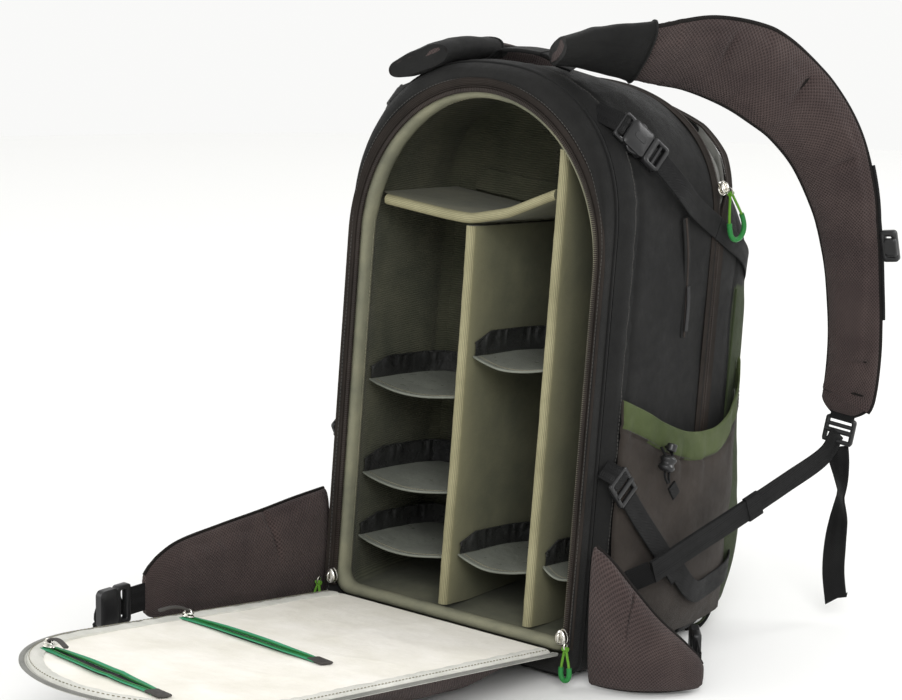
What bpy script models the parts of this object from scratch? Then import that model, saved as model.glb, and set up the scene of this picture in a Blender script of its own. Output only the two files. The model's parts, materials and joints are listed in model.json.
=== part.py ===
"""Camera backpack with a rear access panel, standing on its base with the panel folded down.

World frame: +X is the wearer's right as seen from behind the bag, -Y is the wearer's side, where the
access panel opens, +Z is up, and the origin is on the floor under the bag. The bag leans back a little,
so its own parts are laid out in a leaned frame (x, v, w): v is the depth in from the opening and w is
the height up from the opening's lower edge.
"""
import math

import bmesh
import bpy
from mathutils import Vector

GAP = 0.0004
LINER_GAP = 0.001

# Opening, lean and base
OPEN_WIDTH = 0.254
OPEN_HEIGHT = 0.459
OPEN_RISE = 0.137
OPEN_CORNER = 0.012
LEAN = math.radians(5.1)
BACK_Y = -0.100
HINGE_HEIGHT = 0.030
BASE_THICKNESS = 0.0044
BASE_MARGIN = 0.018
BASE_CORNER = 0.020
BASE_BACK = 0.014
BASE_FRONT = 0.045

# Bag body
RIM_DEPTH = 0.0125
RIM_SIDE = 0.0095
RIM_TOP = 0.0225
COMPARTMENT_DEPTH = 0.150
DAYPACK_DEPTH = 0.090
SKIN = 0.002
WALL = 0.0125
LIP = 0.006
LIP_DEPTH = 0.021
FLOOR_TOP = 0.002
BODY_CORNER = 0.020
ARCH_POWER = 0.87
FRONT_POCKET_WIDTH = 0.190
FRONT_POCKET_BULGE = 0.010

# Zips
CHAIN_HALF = 0.005
CHAIN_SPLIT = 0.0006
CHAIN_START = 0.0126
PANEL_CHAIN_START = 0.0240
CHAIN_FRONT = -0.003
CHAIN_BACK = 0.004
ZIP_GAP = 0.014

# Dividers and shelves
DIVIDER = 0.009
DIVIDER_FRONT = 0.012
DIVIDER_PLAY = 0.003
CENTRE_X = -0.0175
RIGHT_X = 0.0745
TOP_SHELF_DROP = 0.117
TOP_SHELF_W = OPEN_HEIGHT - TOP_SHELF_DROP
SHELF = 0.0024
SHELF_FRONT = 0.024
SHELF_REACH = 0.106
SHELF_GAP = 0.0016

# Access panel, laid out as if closed
PANEL_OPEN = math.radians(87.4)
PANEL_BOARD = 0.003
PANEL_FACE = -0.0012
PANEL_CHAIN_FRONT = -0.0036
PANEL_CHAIN_BACK = -0.0008
PAD_MARGIN = 0.016
LUMBAR = 0.0395

# Straps, webbing and hardware
WEBBING = 0.020
WEBBING_THICK = 0.0016
STRAP_WIDTH = 0.062
STRAP_TIP_WIDTH = 0.042
STRAP_THICK = 0.013
STRAP_PLANE = math.radians(55)
LEFT_STRAP_X = 0.070
BUCKLE_LIFT = 0.00808
TAIL_LENGTH = 0.150
POCKET_WALL = 0.003
POCKET_BULGE = 0.014
WING_THICK = 0.022
HANDLE_DEPTH = 0.055
MAIN_PULL_LENGTH = 0.028
MAIN_PULL_WIDTH = 0.009
FRONT_PULL_LENGTH = 0.044
FRONT_PULL_WIDTH = 0.024
PULL_CORD = 0.0016

# Where the harness meets the bag, in the world frame
SIDE_X = OPEN_WIDTH / 2 + RIM_SIDE
TOP_Z = HINGE_HEIGHT + (OPEN_HEIGHT + RIM_TOP) * math.cos(LEAN)
FRONT_Y = BACK_Y + COMPARTMENT_DEPTH + DAYPACK_DEPTH

MATERIALS = {
    "nylon": ((0.024, 0.024, 0.025), 0.62, 0.0),
    "lining": ((0.105, 0.105, 0.075), 0.9, 0.0),
    "divider": ((0.33, 0.32, 0.2), 0.9, 0.0),
    "satin": ((0.2, 0.21, 0.185), 0.35, 0.0),
    "zip": ((0.03, 0.027, 0.023), 0.55, 0.0),
    "webbing": ((0.012, 0.012, 0.013), 0.6, 0.0),
    "plastic": ((0.015, 0.015, 0.016), 0.38, 0.0),
    "mesh": ((0.075, 0.055, 0.05), 0.85, 0.0),
    "taupe": ((0.06, 0.052, 0.046), 0.8, 0.0),
    "olive": ((0.05, 0.07, 0.035), 0.75, 0.0),
    "panel": ((0.83, 0.8, 0.73), 0.6, 0.0),
    "grey_zip": ((0.4, 0.4, 0.38), 0.5, 0.0),
    "steel": ((0.6, 0.58, 0.54), 0.3, 1.0),
    "pull": ((0.04, 0.2, 0.06), 0.4, 0.0),
    "rubber": ((0.02, 0.02, 0.02), 0.8, 0.0),
}


def material(name):
    found = bpy.data.materials.get(name)
    if found:
        return found
    made = bpy.data.materials.new(name)
    made.use_nodes = True
    colour, roughness, metallic = MATERIALS[name]
    shader = made.node_tree.nodes["Principled BSDF"]
    shader.inputs["Base Color"].default_value = (*colour, 1.0)
    shader.inputs["Roughness"].default_value = roughness
    shader.inputs["Metallic"].default_value = metallic
    made.diffuse_color = (*colour, 1.0)
    return made


def frame(name, parent=None, location=(0, 0, 0), rotation=(0, 0, 0)):
    empty = bpy.data.objects.new(name, None)
    bpy.context.collection.objects.link(empty)
    empty.parent = parent
    empty.location = location
    empty.rotation_euler = rotation
    return empty


def solid(name, shape, finish, parent=None, origin=(0, 0, 0)):
    """One closed body from (points, faces) in the parent's frame, with its own origin."""
    points, faces = shape
    mesh = bpy.data.meshes.new(name)
    mesh.from_pydata([Vector(p) - Vector(origin) for p in points], [], faces)
    body = bmesh.new()
    body.from_mesh(mesh)
    bmesh.ops.recalc_face_normals(body, faces=body.faces)
    body.to_mesh(mesh)
    body.free()
    mesh.materials.append(material(finish))
    made = bpy.data.objects.new(name, mesh)
    bpy.context.collection.objects.link(made)
    made.parent = parent
    made.location = origin
    return made


def loft(rings, around=False):
    """Joins rings of equal length; the ends are capped, or joined to each other when around is true."""
    count = len(rings[0])
    points = [p for ring in rings for p in ring]
    faces = []
    steps = len(rings) if around else len(rings) - 1
    for i in range(steps):
        low = i * count
        high = (i + 1) % len(rings) * count
        for j in range(count):
            k = (j + 1) % count
            faces.append((low + j, low + k, high + k, high + j))
    if not around:
        faces.append(tuple(range(count)))
        faces.append(tuple(range((len(rings) - 1) * count, len(rings) * count)))
    return points, faces


def prism(outline, push):
    """A flat outline pushed along a vector."""
    return loft([[Vector(p) for p in outline], [Vector(p) + Vector(push) for p in outline]])


def along(path, i):
    before = Vector(path[max(i - 1, 0)])
    after = Vector(path[min(i + 1, len(path) - 1)])
    return (after - before).normalized()


def ribbon(path, across, width=WEBBING, thick=WEBBING_THICK):
    """A flat band along a path; across is its width direction, one for all or one for each point."""
    rings = []
    for i, point in enumerate(path):
        side = Vector(across[i] if isinstance(across, list) else across)
        way = along(path, i)
        side = (side - way * side.dot(way)).normalized()
        up = way.cross(side)
        a = side * width / 2
        b = up * thick / 2
        point = Vector(point)
        rings.append([point + a + b, point - a + b, point - a - b, point + a - b])
    return loft(rings)


def block(centre, way, across, size):
    """A box with chamfered long edges: size is (along way, along across, thickness)."""
    way = Vector(way).normalized()
    across = Vector(across)
    across = (across - way * across.dot(way)).normalized()
    up = way.cross(across)
    long, wide, thick = (s / 2 for s in size)
    cut = min(wide, thick) * 0.4
    corners = [(wide, thick - cut), (wide - cut, thick), (cut - wide, thick), (-wide, thick - cut),
               (-wide, cut - thick), (cut - wide, -thick), (wide - cut, -thick), (wide, cut - thick)]
    middle = Vector(centre)
    return loft([[middle + way * end + across * a + up * b for a, b in corners] for end in (-long, long)])


def ring_tube(path, normal, radius, sides=6):
    """A closed round-wire loop along a flat closed path."""
    rings = []
    count = len(path)
    for i, point in enumerate(path):
        way = (Vector(path[(i + 1) % count]) - Vector(path[i - 1])).normalized()
        out = way.cross(Vector(normal)).normalized()
        turns = [2 * math.pi * k / sides for k in range(sides)]
        point = Vector(point)
        rings.append([point + (out * math.cos(t) + Vector(normal) * math.sin(t)) * radius for t in turns])
    return loft(rings, around=True)


# Outlines of the bag body

def arch(half_width, low, high, rise, corner, power=1.0):
    """A bag outline of 27 (x, w) points: round lower corners, straight sides and an arched top."""
    points = []
    for k in range(4):
        turn = math.pi / 6 * k - math.pi / 2
        points.append((half_width - corner + corner * math.cos(turn),
                       low + corner + corner * math.sin(turn)))
    straight = high - rise - low - corner
    sides = [low + corner + straight * k / 4 for k in (1, 2, 3)]
    points += [(half_width, w) for w in sides]
    for k in range(13):
        x = math.cos(math.pi * k / 12)
        up = max(math.sin(math.pi * k / 12), 0.0)
        points.append((half_width * math.copysign(abs(x) ** power, x), high - rise + rise * up ** power))
    points += [(-half_width, w) for w in reversed(sides)]
    for k in range(4):
        turn = math.pi + math.pi / 6 * k
        points.append((corner - half_width + corner * math.cos(turn),
                       low + corner + corner * math.sin(turn)))
    return points


def at(outline, v):
    return [(x, v, w) for x, w in outline]


def opening(offset):
    """The opening's outline, moved outwards by offset."""
    corner = OPEN_CORNER + max(offset, 0)
    return arch(OPEN_WIDTH / 2 + offset, -offset, OPEN_HEIGHT + offset, OPEN_RISE, corner)


def sections():
    """(v, half width, top, rise, lift) of the bag's outside at each depth station."""
    half = OPEN_WIDTH / 2
    top = OPEN_HEIGHT
    rear = COMPARTMENT_DEPTH
    front = DAYPACK_DEPTH
    return [
        (RIM_DEPTH, half + RIM_SIDE, top + RIM_TOP, OPEN_RISE, 0.0),
        (0.20 * rear, half + 0.0140, top + 0.0235, OPEN_RISE - 0.003, 0.0),
        (0.53 * rear, half + 0.0180, top + 0.0210, OPEN_RISE - 0.012, 0.0),
        (rear, half + 0.0185, top + 0.0090, OPEN_RISE - 0.022, 0.0),
        (rear + 0.33 * front, half + 0.0175, top - 0.0070, OPEN_RISE - 0.027, 0.0),
        (rear + 0.61 * front, half + 0.0140, top - 0.0390, OPEN_RISE - 0.032, 0.0),
        (rear + 0.83 * front, half + 0.0080, top - 0.0940, OPEN_RISE - 0.037, 0.004),
        (rear + front, half - 0.0120, top - 0.1490, OPEN_RISE - 0.037, 0.020),
    ]


def section(v):
    """Half width, top, rise and lift of the bag's outside at depth v."""
    rows = sections()
    for before, after in zip(rows, rows[1:]):
        if v <= after[0]:
            break
    part = min(max((v - before[0]) / (after[0] - before[0]), 0.0), 1.0)
    return [a + (b - a) * part for a, b in zip(before[1:], after[1:])]


def floor_line(v):
    """Height w of the bag's underside, just above the base pad, at depth v."""
    return (BASE_THICKNESS + GAP - HINGE_HEIGHT) / math.cos(LEAN) + v * math.tan(LEAN)


def skin(v, inset=0.0):
    """The bag's outside outline at depth v, moved inwards by inset."""
    half, top, rise, lift = section(v)
    return arch(half - inset, floor_line(v) + lift + inset, top - inset, rise, BODY_CORNER, ARCH_POWER)


def back_wall():
    """Depth of the compartment's padded front wall."""
    return COMPARTMENT_DEPTH - GAP - WALL


def cavity(v):
    """Half width, top and rise of the padded compartment at depth v."""
    half, top, rise, _ = section(v)
    return half - WALL, top - WALL, rise


def cavity_outline(v):
    half, top, rise = cavity(v)
    return arch(half, FLOOR_TOP + v * math.tan(LEAN), top, rise, BODY_CORNER / 2, ARCH_POWER)


def arch_share(part):
    """For a share of the arch's rise, the share of its half width that is left, and the other way round."""
    return max(1.0 - min(part, 1.0) ** (2 / ARCH_POWER), 0.0) ** (ARCH_POWER / 2)


def side_x(v, w):
    """The bag's outer side at depth v and height w."""
    half, top, rise, _ = section(v)
    return half * arch_share(max(w - top + rise, 0.0) / rise)


def wall_x(v, w):
    """The compartment's side wall at depth v and height w."""
    half, top, rise = cavity(v)
    return half * arch_share(max(w - top + rise, 0.0) / rise)


def ceiling(x, v):
    """The compartment's arched top over x at depth v."""
    half, top, rise = cavity(v)
    return top - rise + rise * arch_share(abs(x) / half)


def lip_x(w):
    """The lip's inner edge at height w."""
    part = min(max(w - OPEN_HEIGHT + LIP + OPEN_RISE, 0.0) / OPEN_RISE, 1.0)
    return (OPEN_WIDTH / 2 - LIP) * math.sqrt(1 - part * part)


def lip_top(x):
    part = min(abs(x) / (OPEN_WIDTH / 2 - LIP), 1.0)
    return OPEN_HEIGHT - LIP - OPEN_RISE + OPEN_RISE * math.sqrt(1 - part * part)


def floor_top(v):
    return FLOOR_TOP + v * math.tan(LEAN)


# Body

def base_pad():
    half = OPEN_WIDTH / 2 + RIM_SIDE - BASE_MARGIN
    front = BACK_Y + COMPARTMENT_DEPTH + DAYPACK_DEPTH - BASE_FRONT
    back = BACK_Y + BASE_BACK
    cut = BASE_CORNER
    outline = [(half - cut, back), (half, back + cut), (half, front - cut), (half - cut, front),
               (cut - half, front), (-half, front - cut), (-half, back + cut), (cut - half, back)]
    solid("base_pad", prism([(x, y, 0) for x, y in outline], (0, 0, BASE_THICKNESS)), "rubber")


def rear_shell(leaned):
    rear = [row[0] for row in sections()[:4]]
    inner = [at(skin(v, SKIN), v) for v in rear[:3]] + [at(skin(rear[3], SKIN), rear[3] - SKIN)]
    outer = [at(skin(v), v) for v in rear]
    solid("outer_shell", loft(inner[::-1] + outer), "nylon", leaned)

    back = COMPARTMENT_DEPTH - SKIN - LINER_GAP
    outer = [at(opening(CHAIN_HALF), CHAIN_BACK + 0.0005),
             at(opening(CHAIN_HALF + 0.001), RIM_DEPTH - 0.0001)]
    outer += [at(skin(RIM_DEPTH, SKIN + LINER_GAP), RIM_DEPTH + GAP)]
    outer += [at(skin(v, SKIN + LINER_GAP), v) for v in rear[1:3]]
    outer += [at(skin(rear[3], SKIN + LINER_GAP), back)]
    mouth = [at(opening(-LIP), CHAIN_BACK + 0.0005), at(opening(-LIP), RIM_DEPTH + 0.0015)]
    inner = mouth + [at(cavity_outline(v), v) for v in (LIP_DEPTH - 0.001, rear[1], rear[2])]
    inner += [at(cavity_outline(back_wall()), back_wall())]
    solid("foam_liner", loft(inner[::-1] + outer), "lining", leaned)


def back_rim(leaned):
    """A padded band from the zip out to the shell, all round the opening and down to the base."""
    near = opening(CHAIN_HALF + GAP)
    far = skin(RIM_DEPTH)
    rows = [(0.0, CHAIN_BACK), (0.0, -0.002), (0.35, -0.0035), (0.75, 0.0005), (1.0, 0.006),
            (1.0, RIM_DEPTH - GAP), (0.2, RIM_DEPTH - GAP)]
    rings = []
    for share, v in rows:
        rings.append([(a[0] + (b[0] - a[0]) * share, v, a[1] + (b[1] - a[1]) * share)
                      for a, b in zip(near, far)])
    solid("back_rim", loft(rings, around=True), "nylon", leaned)


def zip_line(offset, start):
    """The zip's line up one side, over the arch and down the other, moved outwards by offset."""
    half = OPEN_WIDTH / 2 + offset
    return [(half, start)] + opening(offset)[4:23] + [(-half, start)]


def zip_strip(name, near, far, start, low, high, finish, parent):
    rings = []
    for a, b in zip(zip_line(near, start), zip_line(far, start)):
        rings.append([(a[0], low, a[1]), (b[0], low, b[1]), (b[0], high, b[1]), (a[0], high, a[1])])
    solid(name, loft(rings), finish, parent)


def front_shell(leaned):
    """The daypack half: a soft cup whose mouth meets the rear shell, drawn back where its zip is open."""
    rows = [row[0] for row in sections()[4:]]
    mouth = COMPARTMENT_DEPTH + GAP
    wall = SKIN + 0.001
    drawn = {8: 0.6, 9: 1.0, 10: 0.9}
    rings = []
    for inset in (wall, 0.0):
        edge = [(x, mouth + ZIP_GAP * drawn.get(j, 0.0), w) for j, (x, w) in enumerate(skin(mouth, inset))]
        body = [at(skin(v, inset), v) for v in rows[:-1]] + [at(skin(rows[-1], inset), rows[-1] - inset)]
        rings.append([edge] + body)
    solid("front_shell", loft(rings[0][::-1] + rings[1]), "nylon", leaned)


def front_pocket(leaned):
    """The olive lower front, a shallow cushion against the daypack's flat front."""
    v = COMPARTMENT_DEPTH + DAYPACK_DEPTH + GAP
    _, top, rise, lift = section(v)
    half = FRONT_POCKET_WIDTH / 2
    low = floor_line(v) + lift + 0.006
    rings = [at(arch(half - d, low + d, top - 0.012 - d, rise, BODY_CORNER, ARCH_POWER), v + push)
             for d, push in ((0.0, 0.0), (0.002, 0.6 * FRONT_POCKET_BULGE), (0.014, FRONT_POCKET_BULGE))]
    solid("front_pocket", loft(rings), "olive", leaned)


def top_handle(leaned):
    v = HANDLE_DEPTH
    top = section(v)[1]
    foot = top + GAP
    path = [(-0.032, v, foot), (-0.030, v, top + 0.0075), (-0.022, v, top + 0.0105),
            (0.022, v, top + 0.0105), (0.030, v, top + 0.0075), (0.032, v, foot)]
    solid("top_handle", ribbon(path, (0, 1, 0), WEBBING, 0.0024), "webbing", leaned)


# Inside the compartment

def long_divider(name, x, leaned, under=None):
    """An upright foam divider from the floor to the ceiling, or to the underside of the cross shelf."""
    back = back_wall() - 0.0015
    reach = abs(x) + DIVIDER / 2
    stations = [LIP_DEPTH, 0.5 * (LIP_DEPTH + back), back]
    top = under or 1.0
    outline = [(DIVIDER_FRONT, LIP + 0.001)]
    outline += [(v, floor_top(v) + 0.001) for v in (LIP_DEPTH, back)]
    outline += [(v, min(top, ceiling(reach, v) - DIVIDER_PLAY)) for v in reversed(stations)]
    outline += [(v, min(top, lip_top(reach) - DIVIDER_PLAY)) for v in (RIM_DEPTH + 0.002, DIVIDER_FRONT)]
    left = x - DIVIDER / 2
    solid(name, prism([(left, v, w) for v, w in outline], (DIVIDER, 0, 0)), "divider", leaned)


def top_divider(leaned):
    """The cross shelf: from the left wall to the right divider, sagging over the centre divider."""
    back = back_wall() - 0.0015
    right = RIGHT_X - DIVIDER / 2 - 0.001
    rings = []
    for v in (DIVIDER_FRONT, LIP_DEPTH, 0.5 * (LIP_DEPTH + back), back):
        wall = lip_x if v < LIP_DEPTH else (lambda w, v=v: wall_x(v, w))
        left = DIVIDER_PLAY + 0.001 - wall(TOP_SHELF_W + 0.007 + DIVIDER)
        line = [(left, TOP_SHELF_W + 0.007), (CENTRE_X - 0.03, TOP_SHELF_W + 0.001), (CENTRE_X, TOP_SHELF_W),
                (CENTRE_X + 0.04, TOP_SHELF_W + 0.010), (right, TOP_SHELF_W + 0.032)]
        rings.append([(x, v, w) for x, w in line] + [(x, v, w + DIVIDER) for x, w in reversed(line)])
    solid("top_divider", loft(rings), "divider", leaned)


def shelf_rows():
    """(name, left, right, w) of each hinged satin shelf, left edge first."""
    wall = wall_x(SHELF_FRONT, 0.1)
    half = DIVIDER / 2
    left = (-wall + SHELF_GAP, CENTRE_X - half - SHELF_GAP)
    middle = (CENTRE_X + half + SHELF_GAP, RIGHT_X - half - SHELF_GAP)
    right = (RIGHT_X + half + SHELF_GAP, wall - SHELF_GAP)
    return [("shelf_left_top", *left, 0.188), ("shelf_left_middle", *left, 0.103),
            ("shelf_left_low", *left, 0.045),
            ("shelf_middle_top", *middle, 0.226), ("shelf_middle_low", *middle, 0.050),
            ("shelf_right", *right, 0.058)]


def shelf(name, left, right, w, leaned):
    front = SHELF_FRONT
    dip = 0.18 * (right - left)
    outline = [(left, front), (left + dip, front - 0.004), (right - dip, front - 0.004), (right, front),
               (right, front + SHELF_REACH), (left, front + SHELF_REACH)]
    shape = prism([(x, v, w) for x, v in outline], (0, 0, SHELF))
    solid(name, shape, "satin", leaned, (left, front, w + SHELF))


# Outside pieces that come in pairs; side is +1 on the right and -1 on the left

def pocket_rows():
    """(v, hem height) along the side pocket's top edge."""
    depths = [row[0] for row in sections()]
    middle = [depths[1] * 0.5 + depths[2] * 0.5, depths[2] * 0.55 + depths[3] * 0.45]
    rows = [depths[1], middle[0], depths[2], middle[1], *depths[3:6], depths[5] + 0.008]
    return list(zip(rows, (0.213, 0.202, 0.190, 0.181, 0.181, 0.192, 0.215, 0.235)))


def pocket_x(v, share):
    """The side pocket's outer face at depth v and at a share of its height."""
    first, last = pocket_rows()[0][0], pocket_rows()[-1][0]
    belly = math.sin(math.pi * min(max((v - first) / (last - first), 0.0), 1.0)) ** 0.6
    swell = math.sin(math.pi / 2 * min(share * 5, 1.0))
    return side_x(v, 0.1) + GAP + POCKET_WALL + POCKET_BULGE * belly * swell


def side_pocket(name, side, leaned):
    shares = (0.0, 0.1, 0.3, 0.65, 1.0)
    outer = []
    for v, hem in pocket_rows():
        low = floor_line(v) + 0.014
        outer.append([(pocket_x(v, s), v, low + (hem - low) * s) for s in shares])
    rings = []
    for row in outer:
        inner = [(x - POCKET_WALL, v, w) for x, v, w in reversed(row)]
        rings.append([(side * x, v, w) for x, v, w in row + inner])
    solid(name, loft(rings), "taupe", leaned)


def cord_lock(name, button, side, leaned):
    """A barrel cord lock below the pocket's hem, with its sprung button on top."""
    v, w = 0.070, 0.160
    x = side * (pocket_x(v, 1.0) + 0.0085)
    axis = Vector((0, 0.35, 1)).normalized()
    foot = Vector((x, v, w))
    wide = Vector((1, 0, 0))
    body = block(foot, axis, wide, (0.015, 0.013, 0.013))
    solid(name, body, "plastic", leaned, foot)
    top = foot + axis * (0.0075 + 0.0035 + 0.003)
    solid(button, block(top, axis, wide, (0.007, 0.009, 0.009)), "plastic", leaned, top)


def upper_buckle(names, side, leaned):
    """The side-release buckle on the shoulder of the bag and its webbing down to the front."""
    socket, plug, webbing = names
    start = Vector((0, RIM_DEPTH + 0.0195, OPEN_HEIGHT - 0.021))
    way = Vector((0, 0.70, -0.715)).normalized()
    step = 0.002
    slope = (side_x(start.y, start.z + step) - side_x(start.y, start.z - step)) / (2 * step)
    lift = BUCKLE_LIFT * math.hypot(1.0, slope)

    def seat(v, w, off=lift):
        return Vector((side * (side_x(v, w) + off), v, w))

    ends = [seat(*p.yz) for p in (start, start + way * 0.026)]
    run = (ends[1] - ends[0]).normalized()
    across = Vector((0, 0.715, 0.70))
    centre = ends[0] + run * 0.011
    flat = (across - run * across.dot(run)).normalized()
    up = run.cross(flat)
    rings = []
    for reach, wide, thick in ((0.006, 0.0105, 0.0032), (0.022, 0.0105, 0.0032), (0.022, 0.0135, 0.0052),
                               (0.0, 0.0135, 0.0052)):
        rings.append([ends[0] + run * reach + flat * a * wide + up * b * thick for a, b in CORNERS])
    solid(socket, loft(rings), "plastic", leaned, centre)

    rings = []
    for reach, wide, thick in ((0.008, 0.0086, 0.0022), (0.0222, 0.0092, 0.0026), (0.0228, 0.0125, 0.0045),
                               (0.0400, 0.0120, 0.0040)):
        rings.append([ends[0] + run * reach + flat * a * wide + up * b * thick for a, b in CORNERS])
    solid(plug, loft(rings), "plastic", leaned, ends[0] + run * 0.03)

    rows = ((0.079, 0.068, lift), (0.107, 0.086, 0.006), (COMPARTMENT_DEPTH - 0.005, 0.104, 0.0035))
    tail = [ends[0] + run * 0.0415] + [seat(v, OPEN_HEIGHT - drop, off) for v, drop, off in rows]
    turns = [across, Vector((0, 0.6, 0.8)), Vector((0, 0.45, 0.89)), Vector((0, 0.43, 0.9))]
    solid(webbing, ribbon(tail, turns), "webbing", leaned)


CORNERS = [(1, 0.5), (0.7, 1), (-0.7, 1), (-1, 0.5), (-1, -0.5), (-0.7, -1), (0.7, -1), (1, -0.5)]


def lower_webbing(lock, webbing, side, leaned):
    """The lower compression strap across the side pocket, with its ladder lock by the rim."""
    first = Vector((side * (side_x(0.028, 0.14) + 0.0125), 0.026, 0.142))
    way = Vector((side * 0.12, 0.62, -0.78)).normalized()
    across = Vector((0, 0.78, 0.62))
    solid(lock, block(first, way, across, (0.026, 0.026, 0.006)), "plastic", leaned, first)
    path = [first + way * 0.0145]
    for v, w in ((0.052, 0.110), (0.075, 0.084), (0.100, 0.058)):
        path.append(Vector((side * (pocket_x(v, 0.5) + 0.0048), v, w)))
    solid(webbing, ribbon(path, across), "webbing", leaned)


# Harness, laid out in the world frame

def strap_path():
    """Points and width directions of the right shoulder strap, which arcs up and out over the front."""
    out = Vector((math.cos(STRAP_PLANE), math.sin(STRAP_PLANE), 0))
    normal = Vector((math.sin(STRAP_PLANE), -math.cos(STRAP_PLANE), 0))
    foot = Vector((SIDE_X - 0.0465, BACK_Y + 0.100, TOP_Z))
    route = [(-0.052, 0.0145, 72), (-0.024, 0.0155, 48), (0.006, 0.0115, 18), (0.038, 0.0065, 6),
             (0.075, 0.003, 8), (0.113, -0.0095, 22), (0.142, -0.0265, 36), (0.166, -0.0455, 44),
             (0.191, -0.0765, 46),
             (0.211, -0.1195, 46), (0.222, -0.1615, 46), (0.228, -0.2015, 46), (0.2315, -0.2435, 46),
             (0.230, -0.2835, 46), (0.225, -0.3115, 46)]
    points = [foot + out * s + Vector((0, 0, z)) for s, z, _ in route]
    across = []
    for i, (_, _, turn) in enumerate(route):
        way = along(points, i)
        radial = normal.cross(way)
        radial = radial if radial.dot(Vector((0.0, 0.0, 1.0)) + out * 0.8) > 0 else -radial
        turn = math.radians(turn)
        across.append(radial * math.cos(turn) + normal * math.sin(turn))
    return points, across


def left_strap_path():
    """The left shoulder strap, thrown back over the top and down the front of the bag. Over the top, its
    heights are above the rim's arch at the strap's own place."""
    over = [(-0.070, 0.034, 0.0102), (-0.069, 0.070, 0.0132), (-0.069, 0.120, 0.0082),
            (-0.070, 0.165, 0.0002)]
    arch_z = TOP_Z - OPEN_RISE * (1 - arch_share(LEFT_STRAP_X / SIDE_X))
    down = [(-0.073, -0.040, -0.0255), (-0.072, -0.010, -0.0455), (-0.072, 0.015, -0.0775),
            (-0.073, 0.033, -0.1225), (-0.075, 0.044, -0.1725), (-0.078, 0.050, -0.2225),
            (-0.081, 0.051, -0.2725), (-0.084, 0.049, -0.3125)]
    route = [(x, BACK_Y + y, arch_z + z) for x, y, z in over]
    route += [(x, FRONT_Y + y, TOP_Z + z) for x, y, z in down]
    slope = (0.40, 0.40, 0.40, 0.36, 0.30, 0.22, 0.12, 0.04, 0.0, 0.0, 0.0, 0.0)
    return [Vector(p) for p in route], [Vector((1, 0, rise)) for rise in slope]


def pad(points, across, widths, thick):
    """A padded band with rounded edges."""
    rings = []
    for i, point in enumerate(points):
        way = along(points, i)
        side = (across[i] - way * across[i].dot(way)).normalized()
        up = way.cross(side)
        wide = widths[0] + (widths[1] - widths[0]) * i / (len(points) - 1)
        rings.append([point + side * a * wide / 2 + up * b * thick / 2 for a, b in CORNERS])
    return loft(rings)


def shoulder_strap(end, points, across, anchor_side):
    """One strap with its ladder lock, sternum slider, lower webbing and hanging tail."""
    shape = pad(points, across, (STRAP_WIDTH, STRAP_TIP_WIDTH), STRAP_THICK)
    solid("shoulder_strap_" + end, shape, "mesh", None, points[0])

    last = points[-1]
    way = along(points, len(points) - 1)
    side = (across[-1] - way * across[-1].dot(way)).normalized()
    lock = last + way * 0.0155
    solid("strap_lock_" + end, block(lock, way, side, (0.024, 0.028, 0.006)), "plastic", None, lock)

    middle = len(points) - 5
    way_mid = along(points, middle)
    side_mid = (across[middle] - way_mid * across[middle].dot(way_mid)).normalized()
    edge = points[middle] + side_mid * (STRAP_WIDTH * 0.43 + 0.0115) * anchor_side
    shape = block(edge, way_mid, side_mid, (0.030, 0.015, 0.012))
    solid("sternum_slider_" + end, shape, "plastic", None, edge)

    foot = lock + way * 0.016 + Vector((0, 0.003, 0))
    path = [foot - Vector((0, 0, TAIL_LENGTH * k / 5)) + Vector((0.004 * math.sin(k * 1.2), 0.003 * k, 0))
            for k in range(6)]
    turns = [Vector((math.cos(0.25 * k - 0.2), math.sin(0.25 * k - 0.2), 0)) for k in range(6)]
    solid("strap_tail_" + end, ribbon(path, turns), "webbing", None, foot)
    return lock


def strap_webbing(name, path):
    solid(name, ribbon([Vector(p) for p in path], (0, 0, 1)), "webbing")


def hip_wing(name, rows):
    """A padded wing through rows of (x, y, low, high); its faces stand upright."""
    centre = [Vector((x, y, (low + high) / 2)) for x, y, low, high in rows]
    rings = []
    for i, (_, _, low, high) in enumerate(rows):
        way = along([Vector((p.x, p.y, 0)) for p in centre], i)
        out = Vector((-way.y, way.x, 0))
        tall = (high - low) / 2
        thick = WING_THICK / 2 * (1.0 - 0.35 * i / (len(rows) - 1))
        rings.append([centre[i] + out * a * thick + Vector((0, 0, b * tall)) for a, b in WING_CORNERS])
    solid(name, loft(rings), "mesh", None, (rows[0][0], rows[0][1], (rows[0][2] + rows[0][3]) / 2))


WING_CORNERS = [(1, -0.75), (1, 0), (1, 0.75), (0.5, 1), (-0.5, 1), (-1, 0.75), (-1, 0), (-1, -0.75),
                (-0.5, -1), (0.5, -1)]


def hip_end(name, start, way, turn):
    """Webbing out of a hip wing's tip and the buckle half on it."""
    way = Vector(way).normalized()
    start = Vector(start)
    band = ribbon([start, start + way * 0.007, start + way * 0.014], (0, 0, 1), 0.025)
    solid("hip_webbing_" + name, band, "webbing")
    centre = start + way * 0.0305
    shape = block(centre, way, (0, 0, 1), (0.030, 0.032, 0.010))
    solid("hip_buckle_" + name, shape, "plastic", None, start + way * turn)


# Access panel

def panel_outline(inset):
    """The panel's outline, inside the opening by inset; its lower edge stays clear of the hinge."""
    half = OPEN_WIDTH / 2 - inset
    return arch(half, inset + 0.001, OPEN_HEIGHT - inset, OPEN_RISE, OPEN_CORNER)


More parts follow.
